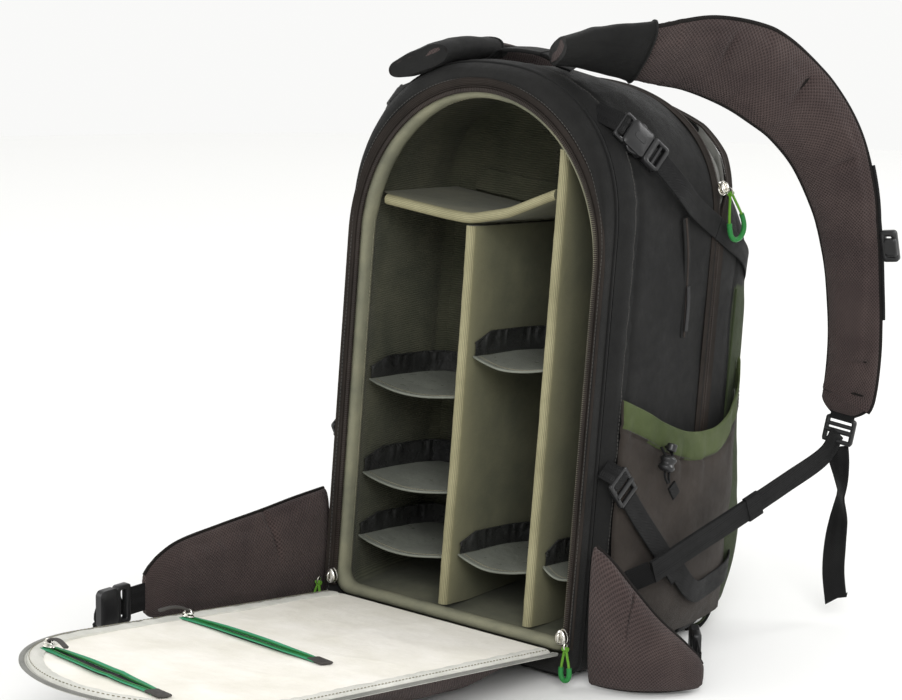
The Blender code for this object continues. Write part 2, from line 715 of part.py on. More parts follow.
def access_panel(hinge):
    zip_strip("panel_zip_chain", -CHAIN_HALF, -CHAIN_SPLIT, PANEL_CHAIN_START, PANEL_CHAIN_FRONT,
              PANEL_CHAIN_BACK, "grey_zip", hinge)
    low = PANEL_FACE - PANEL_BOARD
    board = prism(at(panel_outline(CHAIN_HALF + GAP), low), (0, PANEL_BOARD, 0))
    solid("panel_board", board, "panel", hinge)

    profile = [(0.035, 0.007), (0.098, 0.021), (0.174, 0.037), (0.229, LUMBAR), (0.327, 0.040),
               (0.436, 0.032), (0.566, 0.027), (0.697, 0.025), (0.795, 0.023), (0.882, 0.019),
               (0.941, 0.010)]
    straight = OPEN_HEIGHT - OPEN_RISE
    rings = []
    for part, thick in profile:
        w = part * OPEN_HEIGHT
        share = max(w - straight, 0.0) / (OPEN_RISE - PAD_MARGIN)
        half = (OPEN_WIDTH / 2 - PAD_MARGIN) * math.sqrt(max(1 - share * share, 0.05))
        near = low - GAP
        edge = 0.004
        ring = [(-half, near, w)]
        for t in (-1, -0.88, -0.6, -0.2, 0.2, 0.6, 0.88, 1):
            ring.append((half * t, near - edge - (thick - edge) * (1 - t ** 4), w))
        rings.append(ring + [(half, near, w)])
    solid("panel_pad", loft(rings), "mesh", hinge)


def zip_slider(name, centre, parent, way=(0, 0, 1), up=(0, -1, 0), size=(0.014, 0.009, 0.006)):
    """A slider body that rides proud of its chain: way is its travel and up points off the bag."""
    way = Vector(way).normalized()
    across = Vector(up).cross(way)
    solid(name, block(centre, way, across, size), "steel", parent, centre)


def zip_pull(name, pivot, drop, normal, parent, length, wide):
    """A cord loop that hangs from a slider: drop is the way it hangs."""
    drop = Vector(drop).normalized()
    normal = Vector(normal)
    across = normal.cross(drop).normalized()
    path = []
    for k in range(12):
        turn = 2 * math.pi * k / 12
        reach = 0.5 - 0.5 * math.cos(turn)
        swell = math.sin(turn) * (0.35 + 0.65 * reach)
        path.append(Vector(pivot) + drop * (0.002 + length * reach) + across * swell * wide / 1.6)
    solid(name, ring_tube(path, normal, PULL_CORD), "pull", parent, pivot)


def main():
    for leftover in list(bpy.data.objects):
        bpy.data.objects.remove(leftover, do_unlink=True)
    leaned = frame("leaned_frame", None, (0, BACK_Y, HINGE_HEIGHT), (-LEAN, 0, 0))
    hinge = frame("panel_hinge", leaned, (0, 0, 0), (PANEL_OPEN, 0, 0))

    base_pad()
    rear_shell(leaned)
    back_rim(leaned)
    zip_strip("bag_zip_chain", CHAIN_SPLIT, CHAIN_HALF, CHAIN_START, CHAIN_FRONT, CHAIN_BACK, "zip", leaned)
    front_shell(leaned)
    front_pocket(leaned)
    top_handle(leaned)

    long_divider("centre_divider", CENTRE_X, leaned, TOP_SHELF_W - 0.001)
    long_divider("right_divider", RIGHT_X, leaned)
    top_divider(leaned)
    for row in shelf_rows():
        shelf(*row, leaned)

    for end, side in (("right", 1), ("left", -1)):
        side_pocket("side_pocket_" + end, side, leaned)
        cord_lock("cord_lock_" + end, "cord_lock_button_" + end, side, leaned)
        upper_buckle([n + end for n in ("buckle_socket_", "buckle_plug_", "upper_webbing_")], side, leaned)
        lower_webbing("lower_lock_" + end, "lower_webbing_" + end, side, leaned)

    points, across = strap_path()
    lock = shoulder_strap("right", points, across, 1)
    route = [lock + Vector((-0.004, -0.0185, -0.021))]
    rows = ((0.0675, 0.215, 0.145), (0.0535, 0.155, 0.124), (0.0415, 0.105, 0.107), (0.0325, 0.063, 0.093))
    route += [Vector((SIDE_X + x, BACK_Y + y, z)) for x, y, z in rows]
    strap_webbing("strap_webbing_right", route)
    points, across = left_strap_path()
    lock = shoulder_strap("left", points, across, -1)
    route = [lock + Vector((-0.020, 0.001, -0.022)), Vector((-SIDE_X - 0.0135, FRONT_Y + 0.048, 0.148))]
    rows = ((0.0515, 0.250, 0.136), (0.0595, 0.190, 0.124), (0.0495, 0.120, 0.108), (0.0315, 0.065, 0.094))
    route += [Vector((-SIDE_X - x, BACK_Y + y, z)) for x, y, z in rows]
    strap_webbing("strap_webbing_left", route)

    rows = ((0.0120, 0.009, 0.004, 0.124), (0.0295, 0.010, 0.004, 0.113), (0.0475, 0.016, 0.004, 0.092),
            (0.0635, 0.028, 0.004, 0.068), (0.0775, 0.046, 0.004, 0.046), (0.0855, 0.064, 0.004, 0.026))
    hip_wing("hip_wing_right", [(SIDE_X + x, BACK_Y + y, low, high) for x, y, low, high in rows])
    hip_end("right", (SIDE_X + 0.0755, BACK_Y + 0.074, 0.022), (-0.62, 0.78, 0), 0.012)
    rows = ((0.0170, 0.012, 0.012, 0.116), (0.0195, -0.025, 0.014, 0.114), (0.0235, -0.065, 0.020, 0.110),
            (0.0285, -0.115, 0.028, 0.106), (0.0315, -0.165, 0.034, 0.101), (0.0335, -0.200, 0.042, 0.086))
    hip_wing("hip_wing_left", [(-SIDE_X - x, BACK_Y + y, low, high) for x, y, low, high in rows])
    hip_end("left", (-SIDE_X - 0.0335, BACK_Y - 0.2035, 0.062), (-0.04, -1, 0), 0.012)

    access_panel(hinge)
    side = OPEN_WIDTH / 2
    for end, sign in (("right", 1), ("left", -1)):
        zip_slider("main_slider_" + end, (sign * side, -0.0080, 0.013), leaned)
        pivot = (sign * (side + 0.009), -0.0140, 0.009)
        zip_pull("zip_pull_" + end, pivot, (sign * 0.08, 0, -1), (0, 1, 0), leaned,
                 MAIN_PULL_LENGTH, MAIN_PULL_WIDTH)
    for name, margin, drop in (("panel_slider_low", 0.019, 0.246), ("panel_slider_high", 0.037, 0.070)):
        seat = (margin - side, PANEL_FACE + 0.0055, OPEN_HEIGHT - drop)
        zip_slider(name, seat, hinge, (1, 0, 0), (0, 1, 0), (0.012, 0.008, 0.005))

    v = COMPARTMENT_DEPTH + 0.004
    low = skin(v)[8]
    high = skin(v)[9]
    way = Vector((high[0] - low[0], 0, high[1] - low[1])).normalized()
    up = Vector((way.z, 0, -way.x))
    seat = Vector((low[0], v, low[1])) + up * 0.0045
    zip_slider("front_slider", seat, leaned, way, up, (0.013, 0.010, 0.005))
    zip_pull("front_pull", seat + up * 0.006 - way * 0.004, (0.05, 0.42, -1), (1, 0, 0), leaned,
             FRONT_PULL_LENGTH, FRONT_PULL_WIDTH)


main()
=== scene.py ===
import json
import math
import bmesh
import bpy
import numpy as np
from mathutils import Matrix, Vector


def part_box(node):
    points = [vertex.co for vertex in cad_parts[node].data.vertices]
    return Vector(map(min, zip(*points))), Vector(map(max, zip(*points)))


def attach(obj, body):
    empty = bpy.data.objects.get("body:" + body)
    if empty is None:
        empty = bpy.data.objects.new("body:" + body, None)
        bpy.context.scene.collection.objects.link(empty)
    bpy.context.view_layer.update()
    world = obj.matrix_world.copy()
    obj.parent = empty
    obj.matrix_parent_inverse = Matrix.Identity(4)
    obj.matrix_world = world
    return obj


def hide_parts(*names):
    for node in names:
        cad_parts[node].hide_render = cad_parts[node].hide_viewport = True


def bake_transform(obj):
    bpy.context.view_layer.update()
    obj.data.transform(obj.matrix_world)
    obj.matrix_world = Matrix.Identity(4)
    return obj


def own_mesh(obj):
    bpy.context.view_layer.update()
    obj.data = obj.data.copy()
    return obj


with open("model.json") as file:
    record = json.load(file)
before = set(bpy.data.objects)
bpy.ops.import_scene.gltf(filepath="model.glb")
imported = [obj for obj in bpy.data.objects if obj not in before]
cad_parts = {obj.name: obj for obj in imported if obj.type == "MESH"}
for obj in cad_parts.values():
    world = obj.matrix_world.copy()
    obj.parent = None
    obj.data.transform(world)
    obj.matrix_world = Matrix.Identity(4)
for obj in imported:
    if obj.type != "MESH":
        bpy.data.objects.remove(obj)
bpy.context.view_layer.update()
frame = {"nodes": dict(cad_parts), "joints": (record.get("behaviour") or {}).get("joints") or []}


def jointNamed(name):
    return next(j for j in frame["joints"] if j["name"] == name)


# the bag leans back; its own coordinates are x, v (depth in from the opening) and w (height along the back)
hingePlace = jointNamed("panel_hinge")["pos_m"]
riseAxis = jointNamed("main_slider_right_travel")["axis"]
leanAngle = math.atan2(riseAxis[1], riseAxis[2])
openAngle = math.radians(jointNamed("panel_hinge")["range_deg"][1])
leanCos, leanSin, leanTan = math.cos(leanAngle), math.sin(leanAngle), math.tan(leanAngle)


def leaned(x, v, w):
    x, v, w = np.broadcast_arrays(np.asarray(x, float), v, w)
    return np.stack([x, hingePlace[1] + v * leanCos + w * leanSin,
                     hingePlace[2] - v * leanSin + w * leanCos], -1)


def leanedWay(x, v, w):
    return leaned(x, v, w) - leaned(0, 0, 0)


def onPanel(x, v, w):
    # the closed panel's coordinates, turned open about the lower edge of the opening
    turnCos, turnSin = math.cos(openAngle), math.sin(openAngle)
    return leaned(x, v * turnCos - w * turnSin, v * turnSin + w * turnCos)


# numpy helpers

def unit(a):
    return a / np.maximum(np.linalg.norm(a, axis=-1, keepdims=True), 1e-12)


def softNoise(p, size, seed=0):
    # random heights from -1 to 1 on a lattice of that size, joined by smooth steps
    q = np.asarray(p, float) / size + seed * 7.31
    base = np.floor(q).astype(np.int64)
    part = q - base
    part = part * part * (3 - 2 * part)
    total = 0.0
    for corner in range(8):
        step = np.array([corner & 1, corner >> 1 & 1, corner >> 2 & 1])
        cell = base + step
        mix = cell[..., 0] * 73856093 ^ cell[..., 1] * 19349663 ^ cell[..., 2] * 83492791 ^ (seed * 7919
                                                                                             + 11)
        mix = (mix ^ (mix >> 13)) * 1274126177 & 0x7FFFFFFF
        height = (mix ^ (mix >> 15)) % 65536 / 32768 - 1
        total = total + height * np.prod(np.where(step, part, 1 - part), axis=-1)
    return total


def smoothPath(points, count):
    # a Catmull-Rom curve through the points, sampled evenly by length
    p = np.asarray(points, float)
    p = np.vstack([2 * p[0] - p[1], p, 2 * p[-1] - p[-2]])
    t = np.linspace(0, 1, 17)[None, :-1, None]
    a, b, c, d = (p[k:len(p) - 3 + k, None, :] for k in range(4))
    curve = 0.5 * (2 * b + (c - a) * t + (2 * a - 5 * b + 4 * c - d) * t ** 2
                   + (3 * b - a - 3 * c + d) * t ** 3)
    curve = np.vstack([curve.reshape(-1, p.shape[1]), p[-2]])
    return evenly(curve, count)


def evenly(curve, count):
    length = np.concatenate([[0], np.cumsum(np.linalg.norm(np.diff(curve, axis=0), axis=1))])
    want = np.linspace(0, length[-1], count)
    return np.stack([np.interp(want, length, curve[:, k]) for k in range(curve.shape[1])], -1)


def pathFrames(path, across):
    way = unit(np.gradient(path, axis=0))
    across = np.broadcast_to(np.asarray(across, float), path.shape)
    side = unit(across - way * np.sum(across * way, -1, keepdims=True))
    return way, side, np.cross(way, side)


def sweep(path, across, profile, wide=1.0):
    # the profile's (side, up) points carried along the path
    _, side, up = pathFrames(path, across)
    wide = np.broadcast_to(wide, len(path))[:, None, None]
    return path[:, None] + side[:, None] * profile[None, :, :1] * wide + up[:, None] * profile[None, :, 1:]


def boxBand(width, thick, edge, across=14):
    # a band's section with flat faces and round edges, evenly sampled over its width
    x = np.linspace(-1, 1, across) * (width / 2 - edge)
    turn = np.linspace(math.pi / 2, -math.pi / 2, 7)[1:-1]
    right = np.stack([width / 2 - edge + edge * np.cos(turn), np.sin(turn) * thick / 2], -1)
    top = np.stack([x, np.full(across, thick / 2)], -1)
    return np.vstack([top, right, -top, -right])


def gridFaces(rows, cols, loopRows=False):
    # four-cornered faces between the rings of a grid, and from its last ring to its first if it loops
    i = np.arange(rows if loopRows else rows - 1)[:, None]
    j = np.arange(cols)[None, :]
    following = (i + 1) % rows
    beside = (j + 1) % cols
    return np.stack([i * cols + j, i * cols + beside, following * cols + beside, following * cols + j],
                    -1).reshape(-1, 4)


def lengthsAlong(grid, axis, loop):
    steps = np.linalg.norm(np.diff(grid, axis=axis), axis=-1).mean(axis=1 - axis)
    if loop:
        last = np.linalg.norm(np.take(grid, 0, axis) - np.take(grid, -1, axis), axis=-1).mean()
        steps = np.append(steps, last)
    return np.concatenate([[0], np.cumsum(steps)])


def finishMesh(name, mesh, finish, body, nodes=(), flat=False):
    work = bmesh.new()
    work.from_mesh(mesh)
    bmesh.ops.recalc_face_normals(work, faces=work.faces)
    work.to_mesh(mesh)
    work.free()
    mesh.polygons.foreach_set("use_smooth", np.full(len(mesh.polygons), not flat))
    if not flat:
        mesh.set_sharp_from_angle(angle=math.radians(50))
    made = bpy.data.objects.new(name, mesh)
    bpy.context.scene.collection.objects.link(made)
    for one in finish if isinstance(finish, (list, tuple)) else [finish]:
        mesh.materials.append(finishes[one][0])
    if body:
        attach(made, body)
    if nodes:
        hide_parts(*nodes)
    return made


def addGrid(name, grid, finish, body="bag", loopRows=False, nodes=(), pick=None, shade=None):
    # a surface from a (rows, cols, 3) grid whose rows are rings, with its lengths in metres as UV; one flat
    # face closes each end ring unless the rows loop
    rows, cols = grid.shape[:2]
    faces = gridFaces(rows, cols, loopRows)
    points = grid.reshape(-1, 3)
    allFaces = faces.tolist()
    if not loopRows:
        allFaces += [list(range(cols))[::-1], list(range((rows - 1) * cols, rows * cols))]
    mesh = bpy.data.meshes.new(name)
    mesh.from_pydata(points.tolist(), [], allFaces)
    along, around = lengthsAlong(grid, 0, loopRows), lengthsAlong(grid, 1, True)
    i = np.arange(rows if loopRows else rows - 1)[:, None] + np.zeros(cols, int)[None, :]
    j = np.arange(cols)[None, :] + 0 * i
    u = np.stack([around[j], around[j + 1], around[j + 1], around[j]], -1).ravel()
    v = np.stack([along[i], along[i], along[i + 1], along[i + 1]], -1).ravel()
    uv = np.zeros((len(mesh.loops), 2))
    uv[:len(u), 0], uv[:len(u), 1] = u, v
    if len(mesh.loops) > len(u):
        uv[len(u):] = points[[k for face in allFaces[len(faces):] for k in face]][:, [0, 2]]
    mesh.uv_layers.new(name="metres").data.foreach_set("uv", uv.ravel())
    if pick is not None:
        index = np.zeros(len(mesh.polygons), np.int32)
        index[:len(faces)] = np.broadcast_to(pick, i.shape).ravel()
        mesh.polygons.foreach_set("material_index", index)
    # the per-point edge share: a real pale lip on the lining, a painted sheen near the dividers' front edges
    if shade is not None:
        layer = mesh.attributes.new("shade", "FLOAT", "POINT")
        layer.data.foreach_set("value", np.broadcast_to(shade, (rows, cols)).ravel().astype(np.float32))
    return finishMesh(name, mesh, finish, body, nodes)


def addCopies(name, spots, axes, size, finish, body="bag"):
    # the same small chamfered block at each spot; axes are (way, side, up) arrays and size its three lengths
    half = np.array(size) / 2
    end = np.array([[-1, 0.6], [-0.55, 1], [0.55, 1], [1, 0.6]])
    local = np.array([[x * half[0], s * half[1] * k, t * half[2] * k] for x, k in end
                      for s, t in ((-1, -1), (1, -1), (1, 1), (-1, 1))])
    way, side, up = (np.broadcast_to(a, (len(spots), 3)) for a in axes)
    points = (spots[:, None] + way[:, None] * local[None, :, :1] + side[:, None] * local[None, :, 1:2]
              + up[:, None] * local[None, :, 2:])
    one = np.vstack([gridFaces(4, 4), [[3, 2, 1, 0]], [[12, 13, 14, 15]]])
    faces = (one[None] + 16 * np.arange(len(spots))[:, None, None]).reshape(-1, 4)
    mesh = bpy.data.meshes.new(name)
    mesh.from_pydata(points.reshape(-1, 3).tolist(), [], faces.tolist())
    return finishMesh(name, mesh, finish, body, flat=True)


def addStitches(name, path, up, finish="thread", body="bag", pitch=0.0034, length=0.0024, thick=0.0006):
    # a row of thread stitches lying on a seam
    total = np.linalg.norm(np.diff(path, axis=0), axis=1).sum()
    fine = evenly(path, max(int(total / pitch), 2))
    lift = np.broadcast_to(up, path.shape)
    ratio = np.linspace(0, len(path) - 1, len(fine))
    lift = unit(np.stack([np.interp(ratio, np.arange(len(path)), lift[:, k]) for k in range(3)], -1))
    way = unit(np.gradient(fine, axis=0))
    side = unit(np.cross(lift, way))
    return addCopies(name, fine, (way, side, lift), (length, thick, thick), finish, body)


def addTube(name, path, radius, finish, body="bag", sides=10, loop=False, nodes=()):
    # a round cord on a path: its frame is carried along without twist
    way = unit(np.gradient(path, axis=0)) if not loop else unit(np.roll(path, -1, 0) - np.roll(path, 1, 0))
    side = unit(np.cross(way[0], [0.31, 0.17, 0.93]))
    sides3 = []
    for k in range(len(path)):
        side = unit(side - way[k] * np.dot(side, way[k]))
        sides3.append(side)
    sides3 = np.array(sides3)
    up = np.cross(way, sides3)
    turn = np.linspace(0, 2 * math.pi, sides, endpoint=False)
    radius = np.broadcast_to(radius, len(path))[:, None, None]
    grid = path[:, None] + radius * (sides3[:, None] * np.cos(turn)[None, :, None]
                                     + up[:, None] * np.sin(turn)[None, :, None])
    return addGrid(name, grid, finish, body, loopRows=loop, nodes=nodes)


webbing = {"width": 0.0195, "thick": 0.0016}


def addBand(name, path, across, width, thick, finish, body="bag", nodes=(), count=0, wide=1.0):
    if count:
        path = smoothPath(path, count)
        across = np.asarray(across, float)
        if across.ndim == 2:
            across = smoothPath(across, count)
    grid = sweep(path, across, boxBand(width, thick, min(0.0009, thick * 0.6), 10), wide)
    return addGrid(name, grid, finish, body, nodes=nodes)


def addPlate(name, outline, centre, axes, thick, finish, body="bag", nodes=(), edge=0.0006, crown=0.0):
    # a solid plate: its outline in the (way, side) plane, with rounded edges and a slightly crowned top
    way, side, up = (unit(np.asarray(a, float)) for a in axes)
    outline = np.asarray(outline, float)
    middle = outline.mean(axis=0)
    rows = [(1 - edge * 1.2 / 0.01, -0.5), (1, -0.5 + edge / thick), (1, 0.5 - edge / thick),
            (1 - edge * 1.2 / 0.01, 0.5)]
    rows += [(0.7, 0.5 + crown * 0.5), (0.35, 0.5 + crown * 0.9), (0.05, 0.5 + crown)]
    rows = [(0.05, -0.5), (0.5, -0.5)] + rows
    grid = []
    for scale, height in rows:
        flat = middle + (outline - middle) * scale
        grid.append(np.asarray(centre) + flat[:, :1] * way + flat[:, 1:] * side + height * thick * up)
    return addGrid(name, np.array(grid), finish, body, nodes=nodes)


def roundedRect(length, width, corner, each=5):
    # points (along, across) round a rectangle with round corners
    turn = np.linspace(0, math.pi / 2, each)
    points = []
    for k, (sx, sy) in enumerate(((1, 1), (-1, 1), (-1, -1), (1, -1))):
        a = turn + k * math.pi / 2
        points.append(np.stack([sx * (length / 2 - corner) + corner * np.cos(a),
                                sy * (width / 2 - corner) + corner * np.sin(a)], -1))
    return np.vstack(points)


def addFrame(name, centre, axes, outer, inner, thick, finish, body="bag", nodes=(), edge=0.0007):
    # a flat ring of hardware between two rounded rectangles, each (length, width, corner, shift along)
    way, side, up = (unit(np.asarray(a, float)) for a in axes)
    loops = []
    for size, grow, height in ((outer, -edge, -0.5), (outer, 0, -0.5 + edge / thick),
                               (outer, 0, 0.5 - edge / thick),
                               (outer, -edge, 0.5), (inner, edge, 0.5), (inner, 0, 0.5 - edge / thick),
                               (inner, 0, -0.5 + edge / thick), (inner, edge, -0.5)):
        flat = roundedRect(size[0] + 2 * grow, size[1] + 2 * grow, max(size[2] + grow, 0.0003))
        flat = flat + [size[3], 0]
        loops.append(np.asarray(centre) + flat[:, :1] * way + flat[:, 1:] * side + height * thick * up)
    return addGrid(name, np.array(loops), finish, body, loopRows=True, nodes=nodes)


# finishes: woven cloth, spacer mesh, brushed foam, webbing, moulded plastic and plated metal

finishes = {}


def addNode(tree, kind, inputs=None, **settings):
    made = tree.nodes.new("ShaderNode" + kind)
    for key, value in settings.items():
        setattr(made, key, value)
    for key, value in (inputs or {}).items():
        if isinstance(value, bpy.types.NodeSocket):
            tree.links.new(value, made.inputs[key])
        else:
            made.inputs[key].default_value = value
    return made


def math2(tree, operation, a, b=0.0, c=0.0):
    return addNode(tree, "Math", {0: a, 1: b, 2: c}, operation=operation).outputs[0]


def mixColour(tree, factor, a, b):
    made = addNode(tree, "Mix", {0: factor, 6: a, 7: b}, data_type="RGBA")
    return made.outputs[2]


def noiseOf(tree, place, size, detail=3.0, rough=0.55):
    return addNode(tree, "TexNoise", {"Vector": place, "Scale": 1 / size, "Detail": detail,
                                      "Roughness": rough}).outputs[0]


def waveOf(tree, value, pitch):
    return math2(tree, "SINE", math2(tree, "MULTIPLY", value, 2 * math.pi / pitch))


def weaveHeight(tree, kind, uv, place, pitch):
    split = addNode(tree, "SeparateXYZ", {0: uv})
    u, v = split.outputs[0], split.outputs[1]
    if kind == "plain":
        return math2(tree, "MULTIPLY", waveOf(tree, u, pitch), waveOf(tree, v, pitch))
    if kind == "ripstop":
        fine = math2(tree, "MULTIPLY", waveOf(tree, u, pitch), waveOf(tree, v, pitch))
        grid = math2(tree, "MAXIMUM", math2(tree, "POWER",
                                            math2(tree, "ABSOLUTE", waveOf(tree, u, pitch * 12)), 30.0),
                     math2(tree, "POWER", math2(tree, "ABSOLUTE", waveOf(tree, v, pitch * 12)), 30.0))
        return math2(tree, "MULTIPLY_ADD", grid, 0.8, fine)
    if kind == "ribsUpright":
        return math2(tree, "MULTIPLY_ADD", noiseOf(tree, place, pitch * 1.4), 0.5, waveOf(tree, u, pitch))
    if kind == "levelRibs":
        height = addNode(tree, "SeparateXYZ", {0: place}).outputs[2]
        return math2(tree, "MULTIPLY_ADD", noiseOf(tree, place, pitch * 1.6), 0.9,
                     waveOf(tree, height, pitch))
    if kind == "twill":
        slant = math2(tree, "ABSOLUTE", math2(tree, "SUBTRACT",
                                              math2(tree, "FRACT", math2(tree, "DIVIDE", u, pitch * 5)),
                                              0.5))
        shifted = math2(tree, "MULTIPLY_ADD", slant, pitch * 5, v)
        return waveOf(tree, shifted, pitch)
    if kind == "holes":
        cells = addNode(tree, "TexVoronoi", {"Vector": uv, "Scale": 1 / pitch, "Randomness": 0.0},
                        feature="F1")
        skew = addNode(tree, "Mapping", {0: uv, 2: (0, 0, math.radians(45))})
        tree.links.new(skew.outputs[0], cells.inputs["Vector"])
        return math2(tree, "MULTIPLY_ADD", cells.outputs["Distance"], 3.2, -0.9)
    return noiseOf(tree, place, pitch, 5.0, 0.7)


def addFinish(name, slot, colour, other, weave="plain", pitch=0.0009, rough=0.75, bump=0.5, depth=0.0003,
              crease=0.25,
              sheen=0.0, metallic=0.0, patch=0.045, edge=None, weaveShadeStrength=0.35, specular=0.10):
    # colour and other mix by a soft patchy noise; painted shade darkens the weave's hollows and a painted
    # highlight lightens its crests; the edge colour shows where the per-point edge share is 1: a real pale
    # lip on the lining, a painted sheen near the dividers' front edges
    made = bpy.data.materials.new(name)
    made.use_nodes = True
    tree = made.node_tree
    shader = tree.nodes["Principled BSDF"]
    place = addNode(tree, "TexCoord").outputs["Object"]
    uv = addNode(tree, "UVMap", uv_map="metres").outputs[0]
    height = weaveHeight(tree, weave, uv, place, pitch)
    patches = noiseOf(tree, place, patch, 4.0, 0.6)
    patches = addNode(tree, "MapRange", {0: patches, 1: 0.32, 2: 0.68}).outputs[0]
    base = mixColour(tree, patches, (*colour, 1), (*other, 1))
    # edge colour: a real pale lip on the lining, and a painted yellowish sheen on the divider and cross
    # shelf faces near their front edge
    if edge:
        shade = addNode(tree, "Attribute", attribute_name="shade").outputs["Fac"]
        base = mixColour(tree, shade, base, (*edge, 1))
    # painted shade and highlight: the weave's hollows darken the base colour and its crests lighten it
    paintedWeaveShadeAndHighlight = addNode(tree, "MapRange", {0: height, 1: -1.0, 2: 1.0, 3: 1.0 - weaveShadeStrength,
                                        4: 1.0 + weaveShadeStrength * 0.6})
    base = addNode(tree, "VectorMath", {0: base, 3: paintedWeaveShadeAndHighlight.outputs[0]}, operation="SCALE").outputs[0]
    tree.links.new(base, shader.inputs["Base Color"])
    lay = noiseOf(tree, place, 0.011, 3.0, 0.5)
    first = addNode(tree, "Bump", {"Strength": bump, "Distance": depth, "Height": height})
    second = addNode(tree, "Bump", {"Strength": crease, "Distance": 0.002, "Height": lay,
                                    "Normal": first.outputs[0]})
    tree.links.new(second.outputs[0], shader.inputs["Normal"])
    worn = addNode(tree, "MapRange", {0: lay, 1: 0.3, 2: 0.7, 3: rough - 0.08, 4: min(rough + 0.08, 1.0)})
    tree.links.new(worn.outputs[0], shader.inputs["Roughness"])
    shader.inputs["Metallic"].default_value = metallic
    shader.inputs["Sheen Weight"].default_value = sheen
    shader.inputs["Specular IOR Level"].default_value = specular
    finishes[name] = (made, slot)


addFinish("blackNylon", "nylon", (0.0085, 0.0085, 0.0085), (0.013, 0.013, 0.0125), pitch=0.0011, rough=0.62,
          sheen=0.03, crease=0.4)
addFinish("rimNylon", "nylon", (0.0095, 0.0095, 0.0092), (0.015, 0.0147, 0.014), pitch=0.0011, rough=0.66,
          sheen=0.04, crease=0.35)
addFinish("zipTape", "zip", (0.017, 0.014, 0.012), (0.026, 0.021, 0.018), weave="ribsUpright", pitch=0.0016,
          rough=0.8, depth=0.0004)
addFinish("zipCoil", "zip", (0.022, 0.018, 0.016), (0.034, 0.027, 0.023), weave="grain", pitch=0.001,
          rough=0.38)
addFinish("foamLining", "lining", (0.050, 0.053, 0.036), (0.082, 0.082, 0.055), weave="levelRibs",
          pitch=0.0021, rough=0.95,
          sheen=0.06, weaveShadeStrength=0.24, depth=0.0005, edge=(0.20, 0.19, 0.13))
# the dividers' edge colours are a painted yellowish sheen on the faces near the front edge
addFinish("brushedDivider", "divider", (0.070, 0.073, 0.048), (0.105, 0.104, 0.064), weave="grain",
          pitch=0.0013, rough=0.95,
          sheen=0.08, weaveShadeStrength=0.5, depth=0.0004, edge=(0.24, 0.225, 0.130))
addFinish("ribbedEdge", "divider", (0.225, 0.210, 0.125), (0.305, 0.285, 0.175), weave="ribsUpright",
          pitch=0.0016, rough=0.9, weaveShadeStrength=0.3,
          depth=0.0004, edge=(0.25, 0.23, 0.13))
addFinish("lipBinding", "lining", (0.150, 0.152, 0.112), (0.245, 0.240, 0.165), weave="plain", pitch=0.0012,
          rough=0.85, weaveShadeStrength=0.2)
addFinish("greySatin", "satin", (0.135, 0.143, 0.120), (0.185, 0.195, 0.165), pitch=0.0007, rough=0.34,
          sheen=0.04, weaveShadeStrength=0.1,
          crease=0.5, bump=0.25)
addFinish("blackSatin", "satin", (0.014, 0.014, 0.014), (0.035, 0.036, 0.034), pitch=0.0007, rough=0.3,
          weaveShadeStrength=0.12, crease=0.9, specular=0.35)
addFinish("greyTab", "satin", (0.16, 0.17, 0.14), (0.22, 0.22, 0.19), weave="twill", pitch=0.0012,
          rough=0.7)
addFinish("thread", "nylon", (0.045, 0.045, 0.042), (0.065, 0.062, 0.058), weave="grain", pitch=0.001,
          rough=0.6)
addFinish("paleThread", "lining", (0.16, 0.155, 0.11), (0.24, 0.22, 0.16), weave="grain", pitch=0.001,
          rough=0.6)
addFinish("webbing", "webbing", (0.006, 0.006, 0.0063), (0.0105, 0.0105, 0.0105), weave="twill",
          pitch=0.0018, rough=0.6, weaveShadeStrength=0.5,
          depth=0.0004, sheen=0.02, crease=0.1)
addFinish("blackPlastic", "plastic", (0.009, 0.009, 0.0095), (0.013, 0.013, 0.0135), weave="grain",
          pitch=0.0012, rough=0.36, specular=0.4,
          bump=0.15, crease=0.05, weaveShadeStrength=0.1)
addFinish("spacerMesh", "mesh", (0.042, 0.030, 0.029), (0.062, 0.045, 0.042), weave="holes", pitch=0.0023,
          rough=0.85, weaveShadeStrength=0.6,
          depth=0.0009, bump=0.8, sheen=0.06, crease=0.15)
addFinish("darkBinding", "mesh", (0.009, 0.008, 0.0075), (0.014, 0.012, 0.011), weave="plain", pitch=0.0011,
          rough=0.75)
addFinish("taupeCloth", "taupe", (0.027, 0.0225, 0.0195), (0.044, 0.0365, 0.031), pitch=0.0010, rough=0.7,
          sheen=0.04, crease=0.6)
addFinish("oliveCloth", "olive", (0.026, 0.036, 0.015), (0.043, 0.057, 0.025), weave="ripstop",
          pitch=0.0009, rough=0.68, sheen=0.04,
          crease=0.6, weaveShadeStrength=0.2)
addFinish("oliveHem", "olive", (0.048, 0.064, 0.024), (0.078, 0.098, 0.040), pitch=0.0010, rough=0.6,
          sheen=0.03, crease=0.6)
addFinish("panelCloth", "panel", (0.74, 0.71, 0.63), (0.86, 0.83, 0.77), weave="plain", pitch=0.0009,
          rough=0.55, weaveShadeStrength=0.06, crease=0.35,
          patch=0.06, bump=0.2, sheen=0.02)
addFinish("greyBinding", "grey_zip", (0.40, 0.40, 0.36), (0.52, 0.52, 0.48), weave="ribsUpright",
          pitch=0.0016, rough=0.7, weaveShadeStrength=0.25)
addFinish("greyCoil", "grey_zip", (0.16, 0.16, 0.15), (0.24, 0.24, 0.22), weave="grain", pitch=0.001,
          rough=0.4)
addFinish("greenTape", "pull", (0.035, 0.235, 0.115), (0.055, 0.30, 0.16), weave="ribsUpright",
          pitch=0.0014, rough=0.6, weaveShadeStrength=0.3)
addFinish("greenTube", "pull", (0.022, 0.15, 0.035), (0.03, 0.19, 0.05), weave="grain", pitch=0.003,
          rough=0.3, weaveShadeStrength=0.08, bump=0.1)
